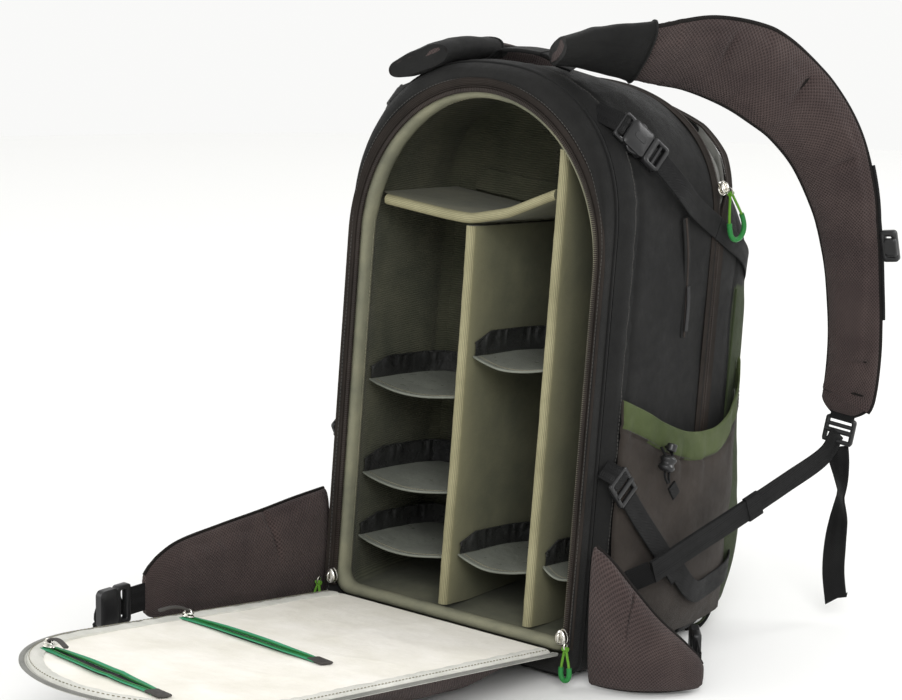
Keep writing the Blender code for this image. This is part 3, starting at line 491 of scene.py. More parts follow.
addFinish("greenCord", "pull", (0.10, 0.27, 0.025), (0.16, 0.36, 0.05), weave="twill", pitch=0.0009,
          rough=0.6, weaveShadeStrength=0.5)
addFinish("silverMetal", "steel", (0.62, 0.60, 0.55), (0.74, 0.72, 0.67), weave="grain", pitch=0.002,
          rough=0.24, specular=0.5, metallic=1.0, bump=0.1,
          crease=0.1, weaveShadeStrength=0.06)
addFinish("coatedBase", "rubber", (0.014, 0.014, 0.014), (0.022, 0.022, 0.022), weave="grain", pitch=0.0016,
          rough=0.7)
print("finishes:", len(finishes))

# bag body: the same driving sizes as the frame's own body

bag = {
    "half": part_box("bag_zip_chain")[1].x - 0.005, "height": 0.459, "rise": 0.137, "corner": 0.012,
    "rimDepth": 0.0125, "depth": 0.150, "front": 0.090, "wall": 0.0125, "lip": 0.006, "floorTop": 0.002,
    "bodyCorner": 0.020, "power": 0.87, "baseThick": 0.0048,
}


def stationRows():
    # v, half width, top, rise and lift of the bag's outside, from the rim to the front face
    half, top, rise, d, f = bag["half"], bag["height"], bag["rise"], bag["depth"], bag["front"]
    return np.array([
        (bag["rimDepth"], half + 0.0095, top + 0.0225, rise, 0),
                     (0.2 * d, half + 0.014, top + 0.0235, rise - 0.003, 0),
        (0.53 * d, half + 0.018, top + 0.021, rise - 0.012, 0),
                     (d, half + 0.0185, top + 0.009, rise - 0.022, 0),
        (d + 0.33 * f, half + 0.0175, top - 0.007, rise - 0.027, 0),
                     (d + 0.61 * f, half + 0.014, top - 0.039, rise - 0.032, 0),
        (d + 0.83 * f, half + 0.008, top - 0.094, rise - 0.037, 0.004),
                     (d + f, half - 0.012, top - 0.149, rise - 0.037, 0.02)])


def stationAt(v):
    rows = stationRows()
    return [np.interp(v, rows[:, 0], rows[:, k]) for k in range(1, 5)]


def archGrid(half, low, top, rise, corner, power, sides=30, over=72, under=24):
    # an outline for each row: round lower corners, straight sides, a top of |cos| and sin powers and a
    # level base
    half, low, top, rise, corner = (np.atleast_1d(np.asarray(a,
                                                             float))[:, None] for a in (half, low, top,
                                                                                        rise, corner))
    turn = np.linspace(-math.pi / 2, 0, 9)[None]
    rightX, cornerW = half - corner + corner * np.cos(turn), low + corner + corner * np.sin(turn)
    share = np.linspace(0, 1, sides + 2)[None, 1:-1]
    sideW = low + corner + (top - rise - low - corner) * share
    arc = np.linspace(0, math.pi, over)[None]
    topX = half * np.sign(np.cos(arc)) * np.abs(np.cos(arc)) ** power
    topW = top - rise + rise * np.sin(arc).clip(0) ** power
    flatX = (half - corner) * np.linspace(-1, 1, under + 2)[None, 1:-1]
    sideX = half + 0 * sideW
    x = np.hstack([rightX, sideX, topX, -sideX, -rightX[:, ::-1], flatX])
    w = np.hstack([cornerW, sideW, topW, sideW[:, ::-1], cornerW[:, ::-1], low + 0 * flatX])
    return x, w


def floorLine(v):
    return (bag["baseThick"] - hingePlace[2]) / leanCos + v * leanTan


def skinGrid(v, inset=0.0, **detail):
    half, top, rise, lift = stationAt(v)
    return archGrid(half - inset, floorLine(v) + lift + inset, top - inset, rise, bag["bodyCorner"],
                    bag["power"], **detail)


def openingGrid(offset, **detail):
    offset = np.atleast_1d(np.asarray(offset, float))
    return archGrid(bag["half"] + offset, -offset, bag["height"] + offset, bag["rise"] + 0 * offset,
                    bag["corner"] + offset.clip(0), 1.0, **detail)


def cavityGrid(v, **detail):
    half, top, rise, _ = stationAt(v)
    return archGrid(half - bag["wall"], bag["floorTop"] + v * leanTan, top - bag["wall"], rise,
                    bag["bodyCorner"] / 2,
                    bag["power"], **detail)


def archShare(part, power):
    return (1 - np.minimum(part, 1.0) ** (2 / power)).clip(0) ** (power / 2)


def sideX(v, w):
    half, top, rise, _ = stationAt(v)
    return half * archShare((w - top + rise).clip(0) / rise, bag["power"])


def wallX(v, w):
    half, top, rise, _ = stationAt(v)
    return (half - bag["wall"]) * archShare((w - top + bag["wall"] + rise).clip(0) / rise, bag["power"])


def zipCurve(offset, start, count):
    # up the right side, over the arch and down the left, evenly spaced
    half, straight = bag["half"] + offset, bag["height"] - bag["rise"]
    arc = np.linspace(0, math.pi, 90)
    arch = np.stack([half * np.cos(arc), straight + (bag["rise"] + offset) * np.sin(arc)], -1)
    return evenly(np.vstack([[half, start], arch, [-half, start]]), count)


def pushOut(grid, amount, centre):
    # moves points along the surface's normal, away from the centre
    du = np.gradient(grid, axis=0)
    dv = np.gradient(grid, axis=1)
    normal = unit(np.cross(du, dv))
    away = grid - centre
    normal = normal * np.where(np.sum(normal * away, -1, keepdims=True) < 0, -1, 1)
    return grid + normal * amount[..., None]


bodyCentre = leaned(0.0, 0.11, 0.22)


def buildOuterShell():
    # padded side band by the rim, a puckered seam, a flatter side panel, and the front half's seam
    fine = dict(sides=90, over=170, under=24)
    v = np.concatenate([np.linspace(bag["rimDepth"], 0.042, 22), np.linspace(0.0445, bag["depth"], 34)])
    x, w = skinGrid(v, **fine)
    outer = leaned(x, v[:, None] + 0 * x, w)
    seam = 0.035
    near = np.exp(-((v - seam) / 0.0045) ** 2)[:, None]
    band = np.exp(-((v - 0.024) / 0.0085) ** 2)[:, None]
    pucker = softNoise(outer * [1, 0.35, 1], 0.0075, 3)
    wide = softNoise(outer, 0.05, 5) * np.clip((v - 0.045) / 0.03, 0,
                                               1)[:, None] * np.clip((0.150 - v) / 0.02, 0, 1)[:, None]
    lift = 0.0022 * band - 0.0026 * near + 0.0011 * pucker * np.exp(-((v - seam)
                                                                      / 0.011) ** 2)[:,
                                                                                     None] + 0.0028 * wide
    lift = lift - 0.0018 * np.exp(-((v - bag["depth"]) / 0.004) ** 2)[:, None]
    lift = lift * np.clip((w - floorLine(v)[:, None]) / 0.02, 0.0, 1)
    outer = pushOut(outer, lift, bodyCentre)
    x, w = skinGrid(v, 0.002, **fine)
    inner = leaned(x, v[:, None] + 0 * x, w)
    grid = np.concatenate([outer, inner[::-1]])
    addGrid("bag_outer_cloth", grid, "blackNylon", loopRows=True, nodes=["outer_shell"])
    row = int(np.argmin(np.abs(v - seam + 0.006)))
    skip = slice(12, -36)
    up = unit(outer[row, skip] - bodyCentre)
    addStitches("side_seam_stitches", outer[row, skip] + up * 0.0003, up)
    # piping where the rim meets the side
    x, w = skinGrid(np.array([bag["rimDepth"]]), -0.0003, sides=60, over=120, under=24)
    addTube("rim_piping", leaned(x[0], 0.0085, w[0]), 0.0016, "blackNylon", loop=True, sides=8)
    x, w = skinGrid(np.array([bag["depth"]]), -0.0004, sides=60, over=120, under=24)
    addTube("front_seam_piping", leaned(x[0], bag["depth"] - 0.003, w[0]), 0.0014, "blackNylon", loop=True,
            sides=8)


def buildRim():
    # the padded back band: from the zip over a soft crown to the side
    share = np.array([0, 0, 0.06, 0.14, 0.24, 0.36, 0.5, 0.64, 0.78, 0.88, 0.95, 1.0, 1.0, 0.7, 0.2])
    depth = np.array([0.004, 0.0005, -0.0022, -0.0034, -0.0044, -0.0048, -0.0044, -0.0034, -0.001, 0.0016,
                      0.0042, 0.0072,
                      0.0115, 0.012, 0.012])
    fine = dict(sides=110, over=200, under=60)
    nearX, nearW = openingGrid(0.0056, **fine)
    farX, farW = skinGrid(np.array([bag["rimDepth"]]), **fine)
    x = nearX + (farX - nearX) * share[:, None]
    w = nearW + (farW - nearW) * share[:, None]
    grid = leaned(x, depth[:, None] + 0 * x, w)
    ripple = softNoise(grid * [1, 1, 1], 0.012, 8) * 0.0006 + softNoise(grid, 0.04, 9) * 0.0011
    grid[..., 1] += ripple * np.sin(math.pi * share)[:, None].clip(0)
    addGrid("back_rim_cloth", grid, "rimNylon", loopRows=True, nodes=["back_rim"])
    front = leanedWay(0, -1, 0)
    crown = grid[4, 8:-66]
    addStitches("rim_topstitch", crown + front * 0.0004, front)


def buildOpeningZip():
    # woven tape along the rim's inner edge and a row of coil turns on its bare edge
    rows = []
    for offset, v in ((0.0006, -0.0016), (0.0016, -0.0030), (0.0060, -0.0044), (0.0100, -0.0052),
                      (0.0104, -0.0044), (0.0060, -0.0034),
                      (0.0016, -0.0020), (0.0006, -0.0010)):
        curve = zipCurve(offset, 0.003, 460)
        rows.append(leaned(curve[:, 0], v, curve[:, 1]))
    addGrid("opening_zip_tape", np.array(rows).transpose(1, 0, 2), "zipTape", nodes=["bag_zip_chain"])
    teeth = zipCurve(0.0001, 0.005, 620)
    spots = leaned(teeth[:, 0], -0.0030, teeth[:, 1])
    way = unit(np.gradient(spots, axis=0))
    up = unit(leanedWay(0, -1, 0))
    out = np.cross(up, way)
    addCopies("opening_zip_coil", spots, (out, way, up), (0.0042, 0.00125, 0.0022), "zipCoil")
    cord = zipCurve(0.0030, 0.005, 400)
    addTube("opening_zip_cord", leaned(cord[:, 0], -0.0043, cord[:, 1]), 0.0007, "zipTape", sides=6)


def buildLiner():
    # pale bound lip, padded walls and the compartment's deep end, as one cup with an outer wall
    fine = dict(sides=60, over=110, under=24)
    rows = []
    shade = []
    outerV = np.array([0.145, 0.10, 0.06, 0.03, 0.0155])
    x, w = skinGrid(outerV, 0.0035, **fine)
    back = leaned(x[:1] * 0.02, 0.145, 0.22 + (w[:1] - 0.22) * 0.02)
    rows += [back, leaned(x, outerV[:, None] + 0 * x, w)]
    shade += [0] * 6
    for offset, v, pale in ((0.0046, 0.0115, 0), (0.0042, 0.0052, 0), (0.0015, 0.0008, 1),
                            (-0.0020, -0.0004, 1), (-0.0050, 0.0010, 1),
                            (-0.0064, 0.0040, 1), (-0.0066, 0.0080, 1), (-0.0060, 0.0125, 0.5),
                            (-0.0030, 0.0150, 0)):
        x, w = openingGrid(offset, **fine)
        wave = 0.0006 * np.sin(w * 260) * (w > bag["height"] - bag["rise"]) * (x < 0.02) * pale
        rows.append(leaned(x + wave, v + 0 * x, w + wave))
        shade.append(pale)
    innerV = np.concatenate([np.linspace(0.022, 0.128, 26), [0.133, 0.1362]])
    x, w = cavityGrid(innerV, **fine)
    tight = np.interp(innerV, [0.128, 0.1362], [1.0, 0.965])[:, None]
    wall = leaned(x * tight, innerV[:, None] + 0 * x, 0.22 + (w - 0.22) * tight)
    wall = pushOut(wall, softNoise(wall, 0.05, 21) * 0.0012 * (innerV < 0.12)[:, None], bodyCentre)
    rows.append(wall)
    shade += [0.25, 0.1] + [0] * (len(innerV) - 2)
    for scale in (0.92, 0.85, 0.75, 0.62, 0.48, 0.34, 0.2, 0.08, 0.01):
        flat = leaned(x[-1:] * scale, 0.1366, 0.22 + (w[-1:] - 0.22) * scale)
        flat[..., 1] += softNoise(flat, 0.045, 23) * 0.0012
        rows.append(flat)
        shade.append(0)
    grid = np.concatenate([r.reshape(-1, r.shape[-2], 3) for r in rows])
    shade = np.array(shade, float)
    bound = (shade[:-1] + shade[1:] > 1.2).astype(int)
    addGrid("compartment_lining", grid, ["foamLining", "lipBinding"], nodes=["foam_liner"],
            shade=shade[:, None] * 0.2,
            pick=bound[:, None])
    curve = zipCurve(-0.0066, 0.02, 420)
    seam = leaned(curve[:, 0], 0.0098, curve[:, 1])
    addStitches("lip_stitches", seam, leaned(0, 0.1, 0.2) - seam, "paleThread")


dividers = {"thick": 0.0092, "front": 0.0115, "back": 0.1355, "centreX": -0.0175, "rightX": 0.0745,
            "centreTop": 0.341, "shelfFront": 0.0118, "shelfBack": 0.1350,
            "sagAt": (-0.0475, -0.0175, 0.0225), "sag": (0.3492, 0.3432, 0.3422, 0.352, 0.3742)}


def buildDivider(name, node, x, under):
    # an upright padded board: at each height a section with a ribbed round front edge and brushed faces
    thick = dividers["thick"]
    v0, v1 = dividers["front"], dividers["back"]
    share = np.linspace(0, 1, 90)
    turn = np.linspace(math.pi, 0, 9)
    front = np.stack([np.cos(turn) * thick / 2, v0 + thick / 2 - np.sin(turn) * thick / 2], -1)
    right = np.stack([np.full(22, thick / 2), np.linspace(v0 + thick / 2, v1, 24)[1:-1]], -1)
    backEdge = np.array([[thick / 2, v1], [0, v1 + 0.0006], [-thick / 2, v1]])
    section = np.vstack([front, right, backEdge, right[::-1] * [-1, 1]])
    v = section[:, 1][None, :]
    half, top, rise, _ = stationAt(section[:, 1])
    reach = abs(x) + thick / 2
    ceiling = top - bag["wall"] - rise + rise * archShare(np.minimum(reach / (half - bag["wall"]), 1),
                                                          bag["power"])
    lipHalf = bag["half"] - bag["lip"]
    lipTop = bag["height"] - bag["lip"] - bag["rise"] + bag["rise"] * math.sqrt(1 - min(reach / lipHalf,
                                                                                        1) ** 2)
    topLine = np.where(section[:, 1] < 0.0205, lipTop, ceiling) - 0.003
    topLine = np.minimum(topLine, under)
    lowLine = np.maximum(bag["floorTop"] + section[:, 1] * leanTan, bag["lip"]) + 0.001
    w = lowLine[None] + (topLine - lowLine)[None] * share[:, None]
    bow = softNoise(np.stack([0 * w + x, v + 0 * w, w], -1), 0.09,
                    31) * 0.0020 * np.sin(math.pi * share)[:, None]
    px = x + section[:, 0][None, :] + bow
    fuzz = softNoise(np.stack([px, v + 0 * w, w], -1), 0.006, 33) * 0.00025
    grid = leaned(px + fuzz, v + 0 * w, w)
    isEdge = np.zeros(len(section), int)
    isEdge[:9] = 1
    isEdge[8] = 0
    # painted sheen: the faces turn pale yellow towards the front edge
    fade = np.exp(-(section[:, 1] - v0) / 0.020) * 0.65
    made = addGrid(name, grid, ["brushedDivider", "ribbedEdge"], nodes=[node], pick=isEdge[None],
                   shade=(fade * (1 - isEdge))[None])


def buildDividers():
    buildDivider("centre_divider_foam", "centre_divider", dividers["centreX"], dividers["centreTop"])
    buildDivider("right_divider_foam", "right_divider", dividers["rightX"], bag["height"])
    # the cross shelf, sagging over the centre divider, with a rounded ribbed front edge
    thick = dividers["thick"]
    right = dividers["rightX"] - thick / 2 - 0.001
    share = np.linspace(0, 1, 70)
    turn = np.linspace(-math.pi / 2, math.pi / 2, 9)
    front = np.stack([dividers["shelfFront"] + thick / 2 - np.cos(turn) * thick / 2,
                      np.sin(turn) * thick / 2], -1)
    depth = np.linspace(dividers["shelfFront"] + thick / 2, dividers["shelfBack"], 24)[1:]
    section = np.vstack([front, np.stack([depth, np.full(23, thick / 2)], -1),
                         np.stack([depth[::-1], np.full(23, -thick / 2)], -1)])
    v = section[:, 0]
    lipHalf = bag["half"] - bag["lip"]
    lipPart = (0.353 - bag["height"] + bag["lip"] + bag["rise"]) / bag["rise"]
    left = 0.004 - np.where(v < 0.021, lipHalf * math.sqrt(1 - lipPart ** 2), wallX(v, 0.358))
    x = left[None] + (right - left)[None] * share[:, None]
    # its height is the line through the sag's points, mostly replaced by a smoothed one
    sagAt = [-0.13, *dividers["sagAt"], right]
    line = np.interp(x, sagAt, dividers["sag"])
    spots = np.linspace(-0.13, 0.07, 21)
    smooth = smoothPath(np.stack([spots, np.interp(spots, sagAt, dividers["sag"])], -1), 21)[:, 1]
    soft = np.interp(x, spots, smooth)
    w = 0.3 * line + 0.7 * soft + thick / 2 + section[:, 1][None]
    grid = leaned(x, v[None] + 0 * x, w)
    isEdge = np.zeros(len(section), int)
    isEdge[:8] = 1
    # painted sheen: the faces turn pale towards the front edge
    fade = np.exp(-(v - 0.012) / 0.012) * 0.35
    made = addGrid("cross_shelf_foam", grid, ["brushedDivider", "ribbedEdge"], nodes=["top_divider"],
                   pick=isEdge[None], shade=(fade * (1 - isEdge))[None])
    # the cross shelf's turned-up flap on the deep wall, and the gathered seam above it
    t = np.linspace(0, 1, 60)
    x = -0.104 + 0.168 * t
    low = np.interp(x, [-0.12, -0.0475, -0.0175, 0.0225, 0.07], [0.360, 0.3545, 0.354, 0.364, 0.384])
    for name, spread, tall in (("cross_shelf_flap_left", slice(0, 36), 0.021),
                               ("cross_shelf_flap_right", slice(37, 60), 0.023)):
        path = leaned(x[spread], 0.1325 - 0.0006 * np.sin(x[spread] * 190), low[spread] + tall / 2)
        addBand(name, path, leanedWay(0, 0, 1), tall, 0.0022, "foamLining")
    w = np.linspace(0.382, 0.455, 60)
    path = leaned(-0.0155 + 0.0012 * np.sin(w * 620), 0.1345 + 0.0008 * np.cos(w * 620), w)
    addTube("gathered_seam", path, 0.0024 + 0.0007 * np.sin(w * 900), "foamLining", sides=8)


shelves = {
    "shelf_left_top": (-1, 0.0180), "shelf_left_middle": (-1, 0.0200), "shelf_left_low": (-1, 0.0170),
    "shelf_middle_top": (0, 0.0200), "shelf_middle_low": (0, 0.0170), "shelf_right": (1, 0.0200),
}


def toLeaned(point):
    y, z = point[1] - hingePlace[1], point[2] - hingePlace[2]
    return point[0], y * leanCos - z * leanSin, y * leanSin + z * leanCos


def buildShelf(node, column, stripTall):
    # a satin flap that sags forward in a curve, with a piped lip, a crinkled upright strip and a small tab
    joint = jointNamed(node + "_fold")
    left, front, w = toLeaned(joint["pos_m"])
    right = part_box(node)[1].x
    wide = right - left
    deep = 0.104
    w = w - 0.0012
    s = np.linspace(0, 1, 44)[:, None]
    t = np.linspace(0, 1, 40)[None]
    bulge = np.sin(math.pi * s.clip(0, 1)) ** 0.9
    v = front - 0.0075 * bulge * (1 - t) + (deep) * t
    sag = 0.0050 * np.sin(math.pi * s) * (1 - t) ** 1.5 + 0.0030 * np.sin(math.pi * s) * np.sin(math.pi * t)
    x = left + wide * (0.012 + 0.976 * s) + 0 * t
    top = w - sag + 0 * t
    top = top + softNoise(np.stack([x, v, 0 * x], -1), 0.02, 41) * 0.0006
    upper, lower = leaned(x, v, top + 0.0006), leaned(x, v, top - 0.0006)
    grid = np.concatenate([upper, lower[:, ::-1]], axis=1)
    addGrid(node + "_satin", grid, "greySatin", node, nodes=[node])
    lip = leaned(x[:, 0], v[:, 0] - 0.0004, top[:, 0])
    addTube(node + "_piping", lip, 0.0011, "greySatin", node, sides=8)
    # the strip follows the left edge and then the deep edge
    corner = deep + front - 0.003
    path = smoothPath([(left + 0.0012, front + 0.001), (left + 0.0010, front + 0.035),
                       (left + 0.0012, front + 0.070),
                       (left + 0.006, corner - 0.008), (left + 0.016, corner),
                       (left + wide * 0.55, corner + 0.0005),
                       (right - 0.003, corner)], 150)
    rows = np.linspace(0, 1, 14)
    run = np.linspace(0, 1, 150)
    tall = stripTall * np.clip(0.55 + run * 3.5, 0, 1)
    grid = []
    for side in (-1, 1):
        for r in rows[::side]:
            crinkle = 0.0011 * np.sin(run * 70
                                      + 3 * softNoise(np.stack([run * 9, 0 * run + r, 0 * run], -1), 1.0,
                                                      43)) * r
            px = path[:, 0] + crinkle * 0.6 + 0.0004 * side
            pv = path[:, 1] - np.abs(crinkle) - 0.0004 * side
            grid.append(leaned(px.clip(left + 0.0005, right - 0.001), pv, w + 0.0008 + tall * r))
    addGrid(node + "_strip", np.array(grid).transpose(1, 0, 2), "blackSatin", node)
    hem = leaned(path[:, 0].clip(left + 0.001), path[:, 1] - 0.0008, w + 0.0008 + tall)
    addTube(node + "_strip_hem", hem, 0.0009, "blackSatin", node, sides=6)
    addStitches(node + "_stitches", leaned(x[2:-2, 2], v[2:-2, 2], top[2:-2, 2] + 0.0011),
                leanedWay(0, 0, 1), "paleThread", node, pitch=0.003)
    if column < 1:
        place = leaned(right - 0.0028, front + 0.004, w + 0.007)
        outline = roundedRect(0.020, 0.0050, 0.0012)
        addPlate(node + "_tab", outline, place, (leanedWay(0, 0.12, 1), (1, 0, 0), leanedWay(0, -1, 0)),
                 0.0018, "greyTab", node)


def buildInside():
    buildLiner()
    buildDividers()
    for node, (column, tall) in shelves.items():
        buildShelf(node, column, tall)


buildOuterShell()
buildRim()
buildOpeningZip()
buildInside()
print("body and compartment done")


# front half, pockets and side hardware

addFinish("greyLining", "satin", (0.20, 0.20, 0.185), (0.30, 0.30, 0.28), pitch=0.0012, rough=0.6,
          crease=0.7)
# a lighter copy of greyLining: painted light on the lining in the front zip's open stretch
addFinish("mouthLining", "satin", (0.22, 0.22, 0.205), (0.34, 0.34, 0.32), pitch=0.0012, rough=0.6,
          crease=0.8)
addFinish("oldOlive", "olive", (0.024, 0.033, 0.014), (0.038, 0.050, 0.022), weave="ripstop", pitch=0.0009,
          rough=0.7, sheen=0.04,
          crease=0.7, weaveShadeStrength=0.2)

frontHalf = {"gap": 0.021, "skin": 0.003, "oliveTop": 0.300, "oliveStart": 0.192}


def mouthGap(x, w, v):
    # how far the open stretch of the front zip is drawn back, by the angle round the arch on the right
    _, top, rise, _ = stationAt(v)
    share = ((w - top + rise) / rise).clip(0, 1) ** (1 / bag["power"])
    angle = np.degrees(np.arcsin(share))
    drawn = np.interp(angle, [0, 6, 15, 30, 45, 54, 60], [0, 0.12, 0.62, 1.0, 0.88, 0.3, 0])
    return frontHalf["gap"] * drawn * (x > 0) * (w > top - rise)


def buildFrontHalf():
    fine = dict(sides=90, over=170, under=30)
    start = bag["depth"] + 0.0006
    full = bag["depth"] + bag["front"]
    v = np.concatenate([start + np.array([0, 0.0012, 0.003, 0.006]),
                        np.linspace(start + 0.009, full - 0.004, 38)])
    rows = []
    mouth = float(start)
    # the lining starts a skin's width inside the cloth's edge and soon lies well clear of its creases
    clear = frontHalf["skin"] + 0.006 * ((v - start) / 0.016).clip(0, 1)
    for inset, order in ((clear, 1), (0.0, -1)):
        x, w = skinGrid(v, inset, **fine)
        draw = mouthGap(x[:1], w[:1], mouth)
        fade = (1 - ((v - start) / 0.030)).clip(0, 1)[:, None]
        depth = v[:, None] + draw * fade
        if order == 1:
            depth = np.minimum(depth, full - 0.013)
        grid = leaned(x, depth, w)
        if order == -1:
            soft = softNoise(grid, 0.055, 61) * 0.0030 + softNoise(grid, 0.02, 62) * 0.0007
            seam = np.exp(-((v - 0.190) / 0.003) ** 2) * 0.0016 + np.exp(-((v - start)
                                                                           / 0.0022) ** 2) * 0.0012
            # the lower front corners stand out where the pocket is full
            swell = 0.011 * np.exp(-((w - 0.075) / 0.060) ** 2) * ((v - 0.180) / 0.045).clip(0, 1)[:, None]
            soft = soft * ((v - start) / 0.012).clip(0, 1)[:, None]
            grid = pushOut(grid, soft - seam[:, None] + swell, leaned(0.0, 0.12, 0.2))
        rows.append((grid, x, w))
    (inner, _, _), (outer, x, w) = rows
    # the front face: rings that close over a slight dome
    faceRows = []
    last = outer[-1]
    middle = leaned(0.0, full, 0.19)
    for scale, push in ((0.985, 0.0020), (0.95, 0.0034), (0.88, 0.0044), (0.76, 0.0052), (0.6, 0.0060),
                        (0.42, 0.0066), (0.22, 0.0070),
                        (0.02, 0.0070)):
        ring = middle + (last - middle) * scale
        ring = ring + leanedWay(0, 1, 0) * (push - 0.0005) + 0 * ring
        ring[:, 1] += softNoise(ring, 0.05, 63) * 0.0012
        faceRows.append(ring)
    backRows = [middle + (inner[-1] - middle) * s - leanedWay(0, 1, 0) * 0.008 for s in (0.02, 0.5, 0.9)]
    grid = np.concatenate([np.array(backRows), inner[::-1], outer, np.array(faceRows)])
    count = len(v)
    pick = np.zeros((len(grid) - 1, grid.shape[1]), int)
    pick[:3 + count] = 1
    low = (w < frontHalf["oliveTop"])
    pick[3 + count:3 + 2 * count - 1] = np.where(low[:-1] & (v[:-1, None] > frontHalf["oliveStart"]), 2, 0)
    pick[3 + 2 * count - 1:] = np.where(low[-1:], 2, 0)
    addGrid("front_half_cloth", grid, ["blackNylon", "greyLining", "oldOlive"], nodes=["front_shell"],
            pick=pick)
    # its zip: a dark tape each side of the seam with coil turns along the drawn mouth
    arcs = slice(9 + 40, 9 + 90 + 170 + 90 - 40)
    for name, at, side in (("front_zip_tape_near", bag["depth"] - 0.0052, 0),
                           ("front_zip_tape_far", start + 0.0060, 1)):
        x0, w0 = skinGrid(np.array([at]), -0.0010, **fine)
        draw = mouthGap(x0, w0, mouth) * side
        path = leaned(x0[0, arcs], at + draw[0, arcs], w0[0, arcs])
        addBand(name, path, leanedWay(0, 1, 0), 0.0085, 0.0011, "zipTape")
        edge = at + (0.0042 if side == 0 else -0.0042)
        spots = evenly(leaned(x0[0, arcs], edge + draw[0, arcs], w0[0, arcs]), 520)
        way = unit(np.gradient(spots, axis=0))
        deep = unit(leanedWay(0, 1, 0))
        addCopies(name + "_coil", spots, (np.broadcast_to(deep, spots.shape), way, np.cross(deep, way)),
                  (0.0030, 0.0011, 0.0022), "zipCoil")
    # lining that shows in the open stretch, in a lighter copy of the grey lining: painted light
    curve = np.linspace(9 + 90 + 10, 9 + 90 + 62, 40).astype(int)
    x0, w0 = skinGrid(np.array([bag["depth"] + 0.012]), 0.0065, **fine)
    addBand("front_mouth_lining", leaned(x0[0, curve], bag["depth"] + 0.010, w0[0, curve]),
            leanedWay(0.35, 1, 0), 0.024,
            0.0012, "mouthLining")
    # welt between the black and the olive cloth
    x0, w0 = skinGrid(np.array([frontHalf["oliveStart"]]), -0.0012, **fine)
    keep = (w0[0] < frontHalf["oliveTop"])
    for side in (1, -1):
        line = leaned(x0[0], frontHalf["oliveStart"], w0[0])[keep & (x0[0] * side > 0.1)]
        line = line[np.argsort(line[:, 2])]
        addTube("olive_welt_" + ("right" if side > 0 else "left"), evenly(line, 90), 0.0011, "oldOlive",
                sides=6)


def buildFrontPocket():
    face = bag["depth"] + bag["front"] + 0.0004
    _, top, rise, lift = stationAt(face)
    low = floorLine(face) + lift + 0.006
    rows = []
    for inset, push in ((0.03, 0.0012), (0.004, 0.0006), (0.0, 0.0020), (0.0005, 0.0056), (0.003, 0.0082),
                        (0.009, 0.0098),
                        (0.020, 0.0108), (0.035, 0.0116), (0.055, 0.0122), (0.080, 0.0126)):
        x, w = archGrid(0.095 - inset, low + inset, top - 0.012 - inset, rise - inset * 0.4,
                        max(0.020 - inset * 0.4, 0.004),
                        bag["power"], sides=60, over=90, under=40)
        full = push * (1.15 + 1.1 * np.exp(-((w - 0.085) / 0.07) ** 2))
        ring = leaned(x, face + full, w)[0]
        ring[:, 1] += softNoise(ring, 0.035, 65) * 0.0012
        rows.append(ring)
    addGrid("lower_front_pocket", np.array(rows), "oliveCloth", nodes=["front_pocket"])
    x, w = archGrid(0.094, low + 0.001, top - 0.013, rise, 0.020, bag["power"], sides=60, over=90, under=40)
    addTube("lower_front_pocket_piping", leaned(x, face + 0.0060, w)[0], 0.0014, "blackNylon", loop=True,
            sides=8)


pocket = {"wall": 0.003, "bulge": 0.014, "foot": 0.014, "hem": 0.024,
          "hemHeights": (0.213, 0.202, 0.190, 0.181, 0.181, 0.192, 0.215, 0.235)}


def pocketStations():
    d = stationRows()[:, 0]
    return np.array([d[1], (d[1] + d[2]) / 2, d[2], d[2] * 0.55 + d[3] * 0.45, d[3], d[4], d[5],
                     d[5] + 0.008])


def pocketX(v, share):
    first, last = pocketStations()[[0, -1]]
    belly = np.sin(math.pi * ((v - first) / (last - first)).clip(0, 1)) ** 0.6
    full = np.sin(math.pi / 2 * np.minimum(share * 5, 1))
    return sideX(v, np.array(0.1)) + 0.0004 + pocket["wall"] + pocket["bulge"] * belly * full


